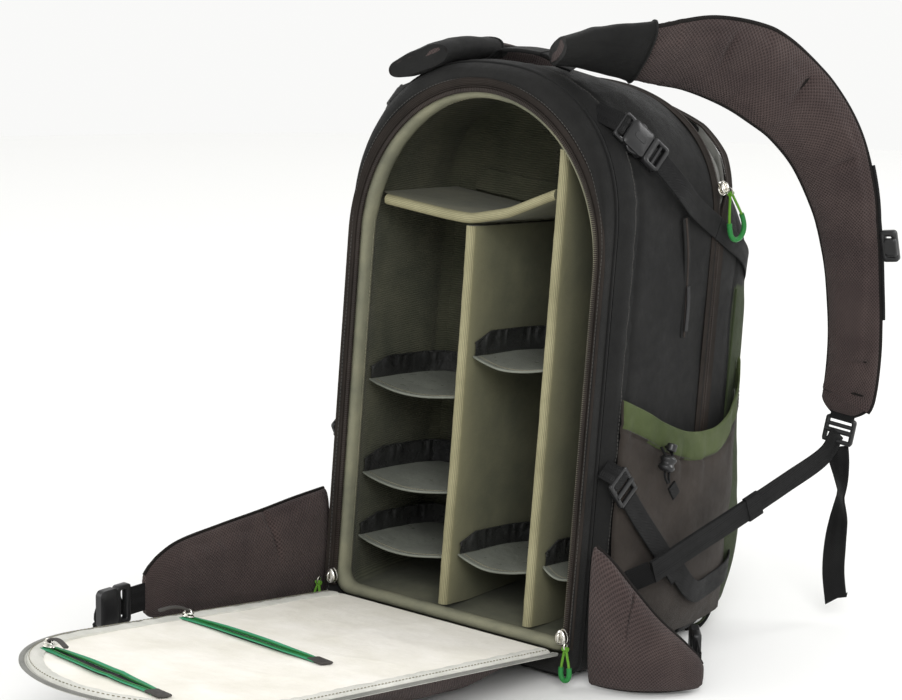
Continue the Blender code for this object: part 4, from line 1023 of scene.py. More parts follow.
def buildSidePocket(end, side):
    stations = pocketStations()
    curve = smoothPath(np.stack([stations, pocket["hemHeights"]], -1), 150)
    v, hem = curve[:, :1], curve[:, 1:]
    low = floorLine(v) + pocket["foot"]
    share = np.linspace(0, 1, 70)[None]
    w = low + (hem - low) * share
    gather = softNoise(np.stack([v * 1.0 + 0 * w, 0 * w, w * 0.22], -1), 0.0085,
                       71) * np.exp(-((hem - w - pocket["hem"]) / 0.018) ** 2)
    folds = softNoise(np.stack([v + w * 0.5, 0 * w, w * 0.45], -1), 0.038, 72)
    x = pocketX(v, share) + 0.0024 * gather + 0.0046 * folds * np.sin(math.pi * share) ** 0.7
    x = x - 0.0022 * np.exp(-((hem - w - pocket["hem"]) / 0.0022) ** 2)
    outer = leaned(side * x, v + 0 * w, w)
    inner = leaned(side * (x - pocket["wall"] * 0.8), v + 0 * w, w)
    lipX = side * (x[:, -1:] - pocket["wall"] * 0.4)
    lip = leaned(lipX, v, hem + 0.0012)
    grid = np.concatenate([outer, lip, inner[:, ::-1]], axis=1)
    pick = np.zeros((149, grid.shape[1]), int)
    isHem = ((hem - w) < pocket["hem"])[:-1]
    pick[:, :70] = isHem
    pick[:, 70] = 1
    pick[:, 71:] = isHem[:, ::-1]
    addGrid("side_pocket_cloth_" + end, grid, ["taupeCloth", "oliveHem"], nodes=["side_pocket_" + end],
            pick=pick)
    seam = leaned(side * (pocketX(v[:, 0], 1.0) + 0.0004), v[:, 0], hem[:, 0] - pocket["hem"] + 0.002)
    out = leanedWay(side, 0, 0)
    addStitches("pocket_hem_stitches_" + end, seam[3:-3], out, "thread")
    # barrel lock with its button, the drawcord's two legs and a tab
    nodes = ["cord_lock_" + end, "cord_lock_button_" + end]
    (lo, hi), (buttonLo, buttonHi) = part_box(nodes[0]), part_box(nodes[1])
    foot = np.array((lo + hi) / 2)
    button = np.array((buttonLo + buttonHi) / 2)
    axis = unit(button - foot)
    t = np.linspace(-1, 1, 25)
    radius = 0.0066 * (1 - np.abs(t) ** 6) ** 0.3 * (1 - 0.12 * np.cos(t * math.pi * 2.0))
    addTube("cord_barrel_" + end, foot + axis * (t * 0.0074)[:, None], radius.clip(0.0008), "blackPlastic",
            nodes[0], 20, nodes=nodes[:1])
    radius = 0.0044 * (1 - np.abs(t) ** 8) ** 0.3
    addTube("cord_button_" + end, button + axis * (t * 0.0036)[:, None], radius.clip(0.0006),
            "blackPlastic", nodes[1], 16, nodes=nodes[1:])
    anchor = leaned(side * (pocketX(np.array(0.072), 1.0) + 0.0014), 0.072,
                    np.interp(0.072, v[:, 0], hem[:, 0]) - 0.020)
    for k in (-1, 1):
        leg = smoothPath([anchor + [0, 0.003 * k, 0], (anchor + foot) / 2 + [side * 0.004, 0.005 * k, 0],
                          foot + [0, 0.0028 * k, 0.004], foot + [0, 0.0028 * k, -0.010],
                          foot + [side * 0.002, 0.001 * k, -0.017]], 40)
        addTube("drawcord_%s_%s" % ("front" if k > 0 else "rear", end), leg, 0.0012, "webbing", nodes[0], 8)
    tab = foot + np.array([side * 0.001, 0.006, -0.020])
    addBand("drawcord_tab_" + end, np.array([tab, tab + [side * 0.001, 0.006, -0.010]]), (0, 0.9, 0.55),
            0.011, 0.0024, "webbing",
            nodes[0], count=12)


def ladderLock(name, node, body, centre, way, side, up, length, width):
    # a moulded frame with two cross bars, the middle one raised for grip
    addFrame(name + "_frame", centre, (way, side, up), (length, width, 0.003, 0),
             (length - 0.006, width - 0.0075, 0.0012, 0),
             0.0042, "blackPlastic", body, [node])
    way, side, up = (unit(np.asarray(a, float)) for a in (way, side, up))
    for k, (shift, lift, thick) in enumerate(((-0.22, 0.0006, 0.0019), (0.06, 0.0014, 0.0023),
                                              (0.5, 0.0008, 0.0021))):
        ends = np.linspace(-0.5, 0.5, 12)[:, None] * (width - 0.002) * side
        addTube("%s_bar_%d" % (name, k), centre + way * shift * (length - 0.004) + up * lift + ends, thick,
                "blackPlastic", body, 8)


def meshCorners(node):
    co = np.empty(len(frame["nodes"][node].data.vertices) * 3)
    frame["nodes"][node].data.vertices.foreach_get("co", co)
    return co.reshape(-1, 3)


def buildUpperBuckle(end, side):
    socket, plug, web = ("buckle_socket_" + end, "buckle_plug_" + end, "upper_webbing_" + end)
    run = np.array(jointNamed("buckle_%s_release" % end)["axis"])
    start = meshCorners(socket)
    base = start.mean(axis=0)
    reach = (start - base) @ run
    tail = base + run * reach.min()
    across = unit(np.array([0, 0.715 * leanCos + 0.70 * leanSin, -0.715 * leanSin + 0.70 * leanCos]))
    across = unit(across - run * (across @ run))
    up = np.cross(run, across)
    up = up * np.sign(up[0] * side)
    axes = (run, across, up)
    # the socket: a waisted moulded body with side windows, and a bar the anchor webbing turns round
    body = roundedRect(0.0225, 0.0262, 0.004, 12)
    waist = 1 - 0.13 * np.exp(-(body[:, 0] / 0.0055) ** 2)
    addPlate("socket_body_" + end, body * np.stack([np.ones(len(body)), waist], -1), tail + run * 0.0112,
             axes, 0.0088,
             "blackPlastic", nodes=[socket], edge=0.0012, crown=0.12)
    addFrame("socket_bar_" + end, tail - run * 0.0035, axes, (0.0125, 0.0262, 0.0028, 0),
             (0.0052, 0.0200, 0.001, 0), 0.0042,
             "blackPlastic")
    addPlate("socket_rib_" + end, roundedRect(0.0125, 0.0060, 0.0028, 8), tail + run * 0.0115 + up * 0.0050,
             axes, 0.0012, "blackPlastic")
    # the plug: a ladder-lock tail, two side prongs and a middle guide
    shoulder = tail + run * 0.0318
    addFrame("plug_tail_" + end, shoulder, axes, (0.0175, 0.0252, 0.0035, 0),
             (0.0085, 0.0195, 0.001, 0.001), 0.0078, "blackPlastic", plug,
             [plug])
    for k in (-1, 1):
        prong = smoothPath([tail + run * 0.024 + across * 0.0085 * k,
                            tail + run * 0.016 + across * 0.0118 * k,
                            tail + run * 0.0095 + across * 0.0136 * k,
                            tail + run * 0.005 + across * 0.0105 * k], 30)
        addBand("plug_prong_%s_%s" % ("low" if k > 0 else "high", end), prong, up, 0.0040, 0.0030,
                "blackPlastic", plug)
    ends = np.linspace(-0.5, 0.5, 12)[:, None] * 0.020 * across
    addTube("plug_bar_" + end, shoulder + run * 0.001 + up * 0.001 + ends, 0.0018, "blackPlastic", plug, 8)
    # anchor webbing under the socket, sewn into the rim seam
    anchor = leaned(side * (sideX(0.020, np.array(0.452)) + 0.0012), 0.020, 0.452)
    route = [tail - run * 0.0035 + up * 0.0034, tail - run * 0.008 + up * 0.0015, anchor]
    addBand("socket_webbing_" + end, np.array(route), across, webbing["width"], webbing["thick"], "webbing",
            count=24)
    # webbing from the plug down to the front seam
    heights = ((0.079, 0.068, 0.0105), (0.107, 0.086, 0.006), (bag["depth"] - 0.005, 0.104, 0.0035))
    path = [tail + run * 0.0385] + [leaned(side * (sideX(r[0], np.array(bag["height"] - r[1])) + r[2]),
                                           r[0], bag["height"] - r[1])
                                   for r in heights]
    turns = [across] + [leanedWay(0, a, b) for a, b in ((0.6, 0.8), (0.45, 0.89), (0.43, 0.9))]
    made = addBand("side_webbing_" + end, np.array(path), np.array(turns), webbing["width"],
                   webbing["thick"], "webbing", nodes=[web], count=60)
    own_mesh(made)
    front = [path[-1] + (path[-1] - path[-2]) * 0.02]
    front += [leaned(side * (sideX(v, np.array(w)) + lift), v, w)
              for v, w, lift in ((0.170, 0.343, 0.0034), (0.192, 0.333, 0.0030), (0.209, 0.321, 0.0026),
                                 (0.222, 0.306, 0.0004))]
    lean = np.array([turns[-1]] * 3 + [unit(leanedWay(side * -0.25, 0.45, 0.85))] * 2)
    addBand("front_webbing_" + end, np.array(front), lean, webbing["width"], webbing["thick"], "webbing",
            count=44)


def buildLowerWebbing(end, side):
    lock, web = "lower_lock_" + end, "lower_webbing_" + end
    centre = meshCorners(lock).mean(axis=0)
    across = unit(leanedWay(0, 0.78, 0.62))
    way = unit(leanedWay(side * 0.12, 0.62, -0.78))
    way = unit(way - across * (way @ across))
    up = np.cross(way, across)
    up = up * np.sign(up[0] * side)
    ladderLock("lower_ladder_" + end, lock, lock, centre, way, across, up, 0.026, 0.0265)
    path = [centre + way * 0.0145] + [leaned(side * (pocketX(np.array(v), 0.5) + 0.0048), v, w)
                                      for v, w in ((0.052, 0.110), (0.075, 0.084), (0.100, 0.058))]
    addBand("pocket_webbing_" + end, np.array(path), across, 0.0195, 0.0017, "webbing", nodes=[web],
            count=60)
    back = leaned(side * (sideX(0.016, np.array(0.16)) + 0.0030), 0.0135, 0.157)
    addBand("lower_anchor_" + end, np.array([centre - way * 0.004 + up * 0.002, centre - way * 0.013,
                                             back]), across, 0.0195, 0.0017,
            "webbing", count=24)
    # compression webbing that runs on round the lower front
    loop = [leaned(side * (pocketX(np.array(0.088), 0.5) + 0.0042), 0.088, 0.076),
            leaned(side * (pocketX(np.array(0.126), 0.3) + 0.0044), 0.126, 0.042),
            leaned(side * (sideX(0.165, np.array(0.1)) + 0.0165), 0.160, 0.040),
            leaned(side * (sideX(0.205, np.array(0.1)) + 0.0125), 0.203, 0.048),
            leaned(side * 0.128, 0.238, 0.058),
            leaned(side * 0.108, 0.262, 0.062)]
    addBand("low_front_webbing_" + end, np.array(loop), leanedWay(0, 0.1, 1), 0.0195, 0.0017, "webbing",
            count=60)


def buildSideDetails(end, side):
    # a slim pocket zip on the side panel with its small pull, and a tool loop at the foot
    path = np.array([leaned(side * (sideX(v, np.array(w)) + 0.0006), v, w) for v,
                     w in ((0.098, 0.365), (0.105, 0.335), (0.108, 0.302), (0.110, 0.262))])
    curve = smoothPath(path, 60)
    addBand("side_zip_garage_" + end, curve, leanedWay(0, 1, 0), 0.0090, 0.0016, "blackNylon")
    addBand("side_zip_line_" + end, curve + [side * 0.0009, 0, 0], leanedWay(0, 1, 0), 0.0024, 0.0014,
            "zipCoil")
    pull = smoothPath([curve[34] + [side * 0.0022, 0, 0], curve[44] + [side * 0.003, 0, 0],
                       curve[56] + [side * 0.0022, 0, 0]], 20)
    addBand("side_zip_pull_" + end, pull, leanedWay(0, 1, 0), 0.0042, 0.0018, "blackPlastic")
    loop = smoothPath([leaned(side * 0.128, 0.205, 0.030), leaned(side * 0.134, 0.212, 0.022),
                       leaned(side * 0.136, 0.209, 0.004),
                       leaned(side * 0.132, 0.200, -0.010), leaned(side * 0.126, 0.188, -0.012)], 50)
    addTube("tool_loop_" + end, loop, 0.0021, "webbing", sides=10)


def buildHandle():
    lo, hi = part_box("top_handle")
    lower = lo.z + 0.001
    y = (lo.y + hi.y) / 2
    route = [(-0.045, y + 0.004, lower - 0.0005), (-0.034, y, lower + 0.0035), (-0.028, y, hi.z - 0.0035),
             (-0.020, y, hi.z - 0.0014), (0, y, hi.z - 0.0004),
             (0.020, y, hi.z - 0.0014), (0.028, y, hi.z - 0.0035), (0.034, y, lower + 0.0035),
             (0.045, y + 0.004, lower - 0.0005)]
    addBand("grab_handle_webbing", np.array(route), (0, 1, 0), 0.0205, 0.0022, "webbing",
            nodes=["top_handle"], count=90)
    addBand("grab_handle_sleeve", np.array(route[3:6]), (0, 1, 0), 0.0222, 0.0034, "blackNylon", count=40)


buildFrontHalf()
buildFrontPocket()
for end, side in (("right", 1), ("left", -1)):
    buildSidePocket(end, side)
    buildUpperBuckle(end, side)
    buildLowerWebbing(end, side)
    buildSideDetails(end, side)
buildHandle()
print("front half and sides done")


# padded pieces: a cloth run swells a voxel copy, and the finely gridded pad is drawn onto it

padSim = {"voxel": 0.005, "pressure": 4.0, "cap": 0.006, "frames": 20}


def swellPad(pad, cap=padSim["cap"]):
    scene = bpy.context.scene
    copy = bpy.data.objects.new("swelling", pad.data.copy())
    scene.collection.objects.link(copy)
    remesh = copy.modifiers.new("remesh", "REMESH")
    remesh.mode = "VOXEL"
    remesh.voxel_size = padSim["voxel"]
    graph = bpy.context.evaluated_depsgraph_get()
    blocky = bpy.data.meshes.new_from_object(copy.evaluated_get(graph))
    copy.modifiers.clear()
    copy.data = blocky
    rest = np.empty(len(blocky.vertices) * 3)
    blocky.vertices.foreach_get("co", rest)
    cloth = copy.modifiers.new("cloth", "CLOTH")
    cloth.settings.quality = 4
    cloth.settings.mass = 0.3
    cloth.settings.tension_stiffness = 12
    cloth.settings.compression_stiffness = 12
    cloth.settings.bending_stiffness = 0.4
    cloth.settings.use_pressure = True
    cloth.settings.uniform_pressure_force = padSim["pressure"]
    cloth.settings.effector_weights.gravity = 0
    for step in range(1, padSim["frames"] + 1):
        scene.frame_set(step)
    graph = bpy.context.evaluated_depsgraph_get()
    swollen = bpy.data.meshes.new_from_object(copy.evaluated_get(graph))
    moved = np.empty(len(swollen.vertices) * 3)
    swollen.vertices.foreach_get("co", moved)
    shift = (moved - rest).reshape(-1, 3)
    size = np.linalg.norm(shift, axis=1, keepdims=True)
    shift = shift * np.minimum(1, cap / np.maximum(size, 1e-9))
    swollen.vertices.foreach_set("co", (rest.reshape(-1, 3) + shift).ravel())
    copy.modifiers.clear()
    # the pad takes on what the run changed: its place drawn onto the swollen copy, less the same on the copy
    # at rest
    start = np.empty(len(pad.data.vertices) * 3)
    pad.data.vertices.foreach_get("co", start)
    facing = np.empty(len(pad.data.vertices) * 3)
    pad.data.vertices.foreach_get("normal", facing)
    drawn = []
    for target in (blocky, swollen):
        copy.data = target
        wrap = pad.modifiers.new("draw_on", "SHRINKWRAP")
        wrap.target = copy
        wrap.wrap_method = "NEAREST_SURFACEPOINT"
        graph = bpy.context.evaluated_depsgraph_get()
        shaped = bpy.data.meshes.new_from_object(pad.evaluated_get(graph))
        place = np.empty(len(shaped.vertices) * 3)
        shaped.vertices.foreach_get("co", place)
        drawn.append(place.reshape(-1, 3))
        pad.modifiers.clear()
    facing = facing.reshape(-1, 3)
    rise = np.sum((drawn[1] - drawn[0]) * facing, axis=1, keepdims=True).clip(-0.0003, cap)
    pad.data.vertices.foreach_set("co", (start.reshape(-1, 3) + facing * rise).ravel())
    pad.data.update()
    bpy.data.objects.remove(copy)
    scene.frame_set(1)


# shoulder straps, laid out from the bag's side, back and top

sidePlace = bag["half"] + 0.0095
backPlace = hingePlace[1]
topPlace = hingePlace[2] + (bag["height"] + 0.0225) * leanCos
frontPlace = backPlace + bag["depth"] + bag["front"]

rightStrap = {
    "plane": math.radians(55), "width": (0.062, 0.044), "thick": 0.0145,
    "route": [(-0.052, 0.0145, 72), (-0.024, 0.0155, 48), (0.006, 0.0115, 18), (0.038, 0.0065, 6),
              (0.075, 0.003, 8),
              (0.113, -0.0095, 22), (0.142, -0.0265, 36), (0.166, -0.0455, 44), (0.191, -0.0765, 46),
              (0.211, -0.1195, 46),
              (0.222, -0.1615, 46), (0.228, -0.2015, 46), (0.2315, -0.2435, 46), (0.230, -0.2835, 46),
              (0.225, -0.3115, 46)],
    "widthAt": (0, 0.10, 0.19, 0.33, 0.48, 0.66, 0.85, 1),
              "widths": (0.062, 0.072, 0.080, 0.080, 0.069, 0.055, 0.049, 0.047),
    "darts": (0.137, 0.275, 0.42, 0.556, 0.905, 0.963),
}
leftStrap = {
    "over": [(-0.070, 0.034, -0.0035), (-0.069, 0.070, -0.0005), (-0.069, 0.120, -0.0055),
             (-0.070, 0.165, -0.0135)],
    "down": [(-0.073, -0.040, -0.0255), (-0.072, -0.010, -0.0455), (-0.072, 0.015, -0.0775),
             (-0.073, 0.033, -0.1225),
             (-0.075, 0.044, -0.1725), (-0.078, 0.050, -0.2225), (-0.081, 0.051, -0.2725),
             (-0.084, 0.049, -0.3125)],
    "slope": (0.40, 0.40, 0.40, 0.36, 0.30, 0.22, 0.12, 0.04, 0.0, 0.0, 0.0, 0.0),
}


def rightRoute():
    out = np.array([math.cos(rightStrap["plane"]), math.sin(rightStrap["plane"]), 0])
    normal = np.array([math.sin(rightStrap["plane"]), -math.cos(rightStrap["plane"]), 0])
    route = np.array(rightStrap["route"])
    points = np.array([sidePlace - 0.0465, backPlace + 0.100,
                       topPlace]) + out * route[:, :1] + [0, 0, 1] * route[:, 1:2]
    way = unit(np.gradient(points, axis=0))
    radial = np.cross(normal, way)
    radial = radial * np.sign(radial @ (out * 0.8 + [0, 0, 1]))[:, None]
    turn = np.radians(route[:, 2:3])
    return points, radial * np.cos(turn) + normal * np.sin(turn)


def leftRoute():
    points = [(x, backPlace + y, topPlace + z) for x, y, z in leftStrap["over"]]
    points += [(x, frontPlace + y, topPlace + z) for x, y, z in leftStrap["down"]]
    return np.array(points), np.array([(1, 0, s) for s in leftStrap["slope"]], float)


def buildStrap(end, points, across, outward):
    body, node = "strap_" + end, "shoulder_strap_" + end
    count = 330
    path, turns = smoothPath(points, count), smoothPath(across, count)
    t = np.linspace(0, 1, count)
    solidWidth = np.interp(t, [0, 1], rightStrap["width"])
    width = np.interp(t, rightStrap["widthAt"],
                      rightStrap["widths"]) * (1 - 0.55 * ((t - 0.965) / 0.035).clip(0, 1) ** 2.4)
    path = path + pathFrames(path, turns)[1] * (width - solidWidth).clip(0)[:, None] * 0.42 * outward
    thick = rightStrap["thick"] * np.interp(t, [0, 0.05, 0.9, 1], [0.7, 1, 0.95, 0.55])
    turn = np.linspace(0, 2 * math.pi, 64, endpoint=False)
    c, s = np.cos(turn), np.sin(turn)
    section = np.stack([np.sign(c) * np.abs(c) ** 0.62, np.sign(s) * np.abs(s) ** 0.9], -1) / 2
    way, side, up = pathFrames(path, turns)
    spread = section[None, :, :1] * width[:, None, None]
    rise = section[None, :, 1:] * thick[:, None, None]
    # darts: narrow sewn tucks that reach from the middle towards the outer edge
    dart = sum(np.exp(-((t[:, None] - d) * 0.5 / 0.0030) ** 2) for d in rightStrap["darts"])
    reach = np.exp(-((section[None, :, 0] * outward - 0.16) / 0.17) ** 4)
    quilt = 0.0009 * softNoise(path[:, None] + spread * side[:, None], 0.03, 81)
    lift = rise[..., 0] * (1 - 0.42 * dart * reach) + quilt * np.sign(section[None, :, 1])
    grid = path[:, None] + spread * side[:, None] + lift[..., None] * up[:, None]
    made = addGrid("strap_pad_" + end, grid, "spacerMesh", body, nodes=[node])
    swellPad(made, 0.0022)
    for name, k in (("outer", 1), ("inner", -1)):
        edge = path + side * (width[:, None] * 0.5 - 0.0004) * k * outward
        addTube("strap_binding_%s_%s" % (name, end), edge, 0.0019, "darkBinding", body, 8)
    for k, d in enumerate(rightStrap["darts"]):
        row = int(d * (count - 1))
        for face in (1, -1):
            u = np.linspace(-0.02, 0.33, 12)[:, None] * width[row] * outward
            line = path[row] + side[row] * u + up[row] * face * (thick[row] * 0.5
                                                                 * (1
                                                                    - (2 * np.abs(u / width[row])) ** 2.4
                                                                    * 0.4) * 0.64)
            addTube("strap_dart_%s_%d_%s" % (end, k, "face" if face > 0 else "back"), line, 0.0013,
                    "darkBinding", body, 6)
    # black hood sewn over the strap's root
    hood = slice(0, int(count * (0.145 if end == "right" else 0.15)))
    coverWidth = width[hood] * 1.07
    coverThick = thick[hood] + 0.0085
    cover = path[hood][:, None] + section[None, :, :1] * coverWidth[:, None, None] * side[hood][:, None] \
        + section[None, :, 1:] * coverThick[:, None, None] * up[hood][:, None]
    cover = cover + softNoise(cover, 0.012, 83)[..., None] * 0.0009 * up[hood][:, None]
    addGrid("strap_hood_" + end, cover, "blackNylon", body)
    addTube("strap_hood_hem_" + end, cover[-1] + way[hood][-1] * 0.0004, 0.0014, "blackNylon", body,
            loop=True, sides=6)
    # ladder lock, the webbing that holds it, and the sternum slider on its rail
    lock = meshCorners("strap_lock_" + end).mean(axis=0)
    endWay, endSide, endUp = way[-1], side[-1], up[-1]
    ladderLock("strap_ladder_" + end, "strap_lock_" + end, "strap_lock_" + end, lock, endWay, endSide,
               endUp, 0.024, 0.0285)
    hold = [path[-5] + endUp * 0.001, path[-1] + endUp * 0.0022, lock - endWay * 0.010 + endUp * 0.0036,
            lock - endWay * 0.0125,
            lock - endWay * 0.0095 - endUp * 0.0034, path[-1] - endUp * 0.0022]
    addBand("strap_end_webbing_" + end, np.array(hold), endSide, 0.0210, 0.0016, "webbing", body, count=50)
    slider = "sternum_slider_" + end
    spot = meshCorners(slider).mean(axis=0)
    row = int(np.argmin(np.linalg.norm(path - spot, axis=1)))
    axes = (way[row], side[row], up[row])
    addFrame("sternum_loop_" + end, spot, axes, (0.0280, 0.0150, 0.003, 0), (0.0180, 0.0060, 0.001, 0),
             0.0058, "blackPlastic",
             "sternum_" + end, [slider])
    addPlate("sternum_clip_" + end, roundedRect(0.016, 0.0110, 0.002, 6),
             spot + side[row] * outward * 0.0025 + up[row] * 0.0044, axes,
             0.0046, "blackPlastic", "sternum_" + end, edge=0.001)
    edge = path[row] + side[row] * (width[row] * 0.5) * outward
    reach = np.array([edge - side[row] * 0.002 * outward, spot - side[row] * 0.0045 * outward])
    addBand("sternum_keeper_" + end, reach, way[row], 0.0120, 0.0026, "webbing", "sternum_" + end, count=10)
    rail = slice(max(row - 42, 0), min(row + 42, count))
    addTube("sternum_rail_" + end, path[rail] + side[rail] * (width[rail, None] * 0.5 + 0.0022) * outward,
            0.0016, "webbing", body, 8)
    return lock, endWay


def buildTail(end, lock, way):
    # the free end hangs from the lock, twists edge-on and opens again to a slanted cut
    tail = {"length": 0.150, "width": 0.020, "thick": 0.0016}
    foot = lock + way * 0.016 + [0, 0.003, 0]
    k = np.arange(6)[:, None]
    route = foot + np.hstack([0.004 * np.sin(k * 1.2), 0.003 * k, -tail["length"] * k / 5])
    path = smoothPath(route, 32)
    t = np.linspace(0, 1, 32)
    angle = np.radians(np.interp(t, [0, 0.14, 0.30, 0.45, 0.7, 1.0], [30, -8, -46, -10, 28, 36]))
    across = np.stack([np.cos(angle), np.sin(angle), 0 * angle], -1)
    section = boxBand(tail["width"], tail["thick"], 0.0006, 12)
    grid = sweep(path, across, section)
    grid[-1] += np.array([0, 0, 1]) * (section[:, :1] / tail["width"] + 0.5) * 0.009
    made = addGrid("strap_tail_webbing_" + end, grid, "webbing", "strap_" + end,
                   nodes=["strap_tail_" + end])


def buildStrapWebbing(end, route):
    path = smoothPath(route, 90)
    made = addBand("strap_lower_webbing_" + end, path, (0, 0, 1), 0.0200, 0.0017, "webbing", None,
                   ["strap_webbing_" + end])
    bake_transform(made)
    # the lower stretch is doubled, and a tri-glide keeps its end
    side = 1 if end == "right" else -1
    out = np.array([side * 0.0022, -0.0008, 0])
    double = path[46:] + out
    addBand("strap_webbing_double_" + end, double, (0, 0, 1), 0.0200, 0.0017, "webbing")
    keep = path[44]
    way = unit(path[46] - path[42])
    acrossWay = unit(np.array([0, 0, 1.0]) - way * way[2])
    up = np.cross(way, acrossWay)
    up = up * np.sign(up[0] * side)
    centre = keep + up * 0.0012
    addBand("webbing_keeper_" + end, np.array([centre - way * 0.008, centre + way * 0.008]), acrossWay,
            0.0225, 0.0052, "webbing", count=10)
    # the webbing's sewn end, down behind the hip wing
    tuck = np.array([path[-1], (side * (sidePlace + 0.018), backPlace + 0.048, 0.084),
                     (side * (sidePlace + 0.006), backPlace + 0.034, 0.074)])
    addBand("strap_webbing_root_" + end, tuck, (0, 0, 1), 0.0200, 0.0017, "webbing", count=24)


def buildHarness():
    points, across = rightRoute()
    lock, way = buildStrap("right", points, across, 1)
    buildTail("right", lock, way)
    route = [lock + [-0.004, -0.0185, -0.021]]
    route += [(sidePlace + x, backPlace + y, z) for x, y,
              z in ((0.0675, 0.215, 0.145), (0.0535, 0.155, 0.124), (0.0415, 0.105, 0.107),
                                                                (0.0325, 0.063, 0.093))]
    route = [lock + way * 0.001 + [-0.0005, -0.002, -0.001]] + route
    buildStrapWebbing("right", route)
    points, across = leftRoute()
    lock, way = buildStrap("left", points, across, -1)
    buildTail("left", lock, way)
    route = [lock + [0, 0.003, -0.002], lock + [-0.020, 0.001, -0.022],
             (-sidePlace - 0.0135, frontPlace + 0.048, 0.148)]
    route += [(-sidePlace - x, backPlace + y, z) for x, y,
              z in ((0.0515, 0.250, 0.136), (0.0595, 0.190, 0.124), (0.0495, 0.120, 0.108),
                                                                 (0.0315, 0.065, 0.094))]
    buildStrapWebbing("left", route)


# hip wings

wings = {
    "right": [(0.0120, 0.009, 0.004, 0.124), (0.0295, 0.010, 0.004, 0.113), (0.0475, 0.016, 0.004, 0.092),
              (0.0635, 0.028, 0.004, 0.068),
              (0.0775, 0.046, 0.004, 0.046), (0.0855, 0.064, 0.004, 0.026)],
    "left": [(0.0170, 0.012, 0.012, 0.116), (0.0195, -0.025, 0.014, 0.114), (0.0235, -0.065, 0.020, 0.110),
             (0.0285, -0.115, 0.028, 0.106),
             (0.0315, -0.165, 0.034, 0.101), (0.0335, -0.200, 0.042, 0.086)],
}


def buildWing(end, side):
    rows = np.array(wings[end])
    rows[:, 0] = side * (sidePlace + rows[:, 0])
    rows[:, 1] += backPlace
    count = 150
    fine = smoothPath(rows, count)
    t = np.linspace(0, 1, count)
    centre = np.stack([fine[:, 0], fine[:, 1], (fine[:, 2] + fine[:, 3]) / 2], -1)
    way = np.gradient(centre, axis=0) * [1, 1, 0]
    way = unit(way)
    out = np.stack([-way[:, 1], way[:, 0], 0 * t], -1)
    tall = (fine[:, 3] - fine[:, 2]) / 2 * np.interp(t, [0, 0.93, 0.975, 1], [1, 1, 0.93, 0.78])
    thick = 0.0105 * (1 - 0.35 * t) * np.interp(t, [0, 0.02, 0.94, 1], [0.85, 1, 1, 0.45])
    turn = np.linspace(0, 2 * math.pi, 84, endpoint=False)
    c, s = np.cos(turn), np.sin(turn)
    flatness = np.sign(c) * np.abs(c) ** 0.55
    height = np.sign(s) * np.abs(s) ** 0.75
    grid = centre[:, None] + out[:, None] * (thick[:, None] * flatness[None])[..., None] \
        + np.array([0, 0, 1.0]) * (tall[:, None] * height[None])[..., None]
    dart = np.exp(-((t[:, None] - 0.30 - 0.05 * height[None]) / 0.010) ** 2) * (height[None] > 0.05)
    soft = softNoise(grid, 0.035, 91) * 0.0014
    grid = grid + out[:, None] * ((soft - 0.0022 * dart) * np.sign(flatness[None]))[..., None]
    facing = 1 if end == "right" else -1
    pick = np.where(flatness * facing > 0.35, 1, 0) * (1 if end == "right" else 0)
    made = addGrid("wing_pad_" + end, grid, ["spacerMesh", "blackNylon"], "hip_wing_" + end,
                   nodes=["hip_wing_" + end], pick=pick[None])
    swellPad(made, 0.0035)
    edges = [("top", 1)] if end == "left" else [("top", 1), ("foot", -1)]
    for name, k in edges:
        line = centre + np.array([0, 0, 1.0]) * (tall * k * 1.0)[:, None]
        addTube("wing_binding_%s_%s" % (name, end), line, 0.0016, "darkBinding", "hip_wing_" + end, 8)
    # webbing out of the tip to the buckle half
    node, web = "hip_buckle_" + end, "hip_webbing_" + end
    buckle = meshCorners(node).mean(axis=0)
    root = meshCorners(web).mean(axis=0)
    run = unit(buckle - root)
    tip = root - run * 0.012
    addBand("wing_webbing_" + end, np.array([tip - run * 0.010, tip, root, buckle - run * 0.010]),
            (0, 0, 1), 0.0245, 0.0018, "webbing",
                   "hip_wing_" + end, [web], count=30)
    across = np.array([0, 0, 1.0])
    up = np.cross(run, across)
    up = up * np.sign(up[0] * side)
    axes = (run, across, up)
    addFrame("wing_buckle_frame_" + end, buckle - run * 0.008, axes, (0.016, 0.034, 0.003, 0),
             (0.0065, 0.026, 0.001, 0), 0.0072,
             "blackPlastic", node, [node])
    outline = roundedRect(0.020, 0.0325, 0.005, 8)
    addPlate("wing_buckle_body_" + end, outline, buckle + run * 0.008, axes, 0.0088, "blackPlastic", node,
             edge=0.0012, crown=0.1)
    if end == "left":
        fold = smoothPath([buckle - run * 0.012 + up * 0.003,
                           buckle - run * 0.002 + up * 0.0085 - across * 0.004,
                           buckle + run * 0.004 + up * 0.009 - across * 0.012,
                           buckle - run * 0.004 + up * 0.0075 - across * 0.024], 30)
        addBand("wing_webbing_fold", fold, (across + run * 0.5), 0.0240, 0.0018, "webbing", node)


# access panel

panelSizes = {"edge": 0.0054, "board": 0.003, "face": -0.0012, "padMargin": 0.016, "lumbar": 0.0395}


def panelWave(x, w):
    p = np.stack(np.broadcast_arrays(np.asarray(x, float), 0.0 * np.asarray(w), w), -1)
    soft = softNoise(p, 0.085, 101) * 0.0011 + softNoise(p * [1.0, 1, 0.6], 0.028, 102) * 0.00055
    ridge = 1 - np.abs(softNoise(p + 3.1, 0.06, 103))
    return soft + 0.0007 * ridge ** 6


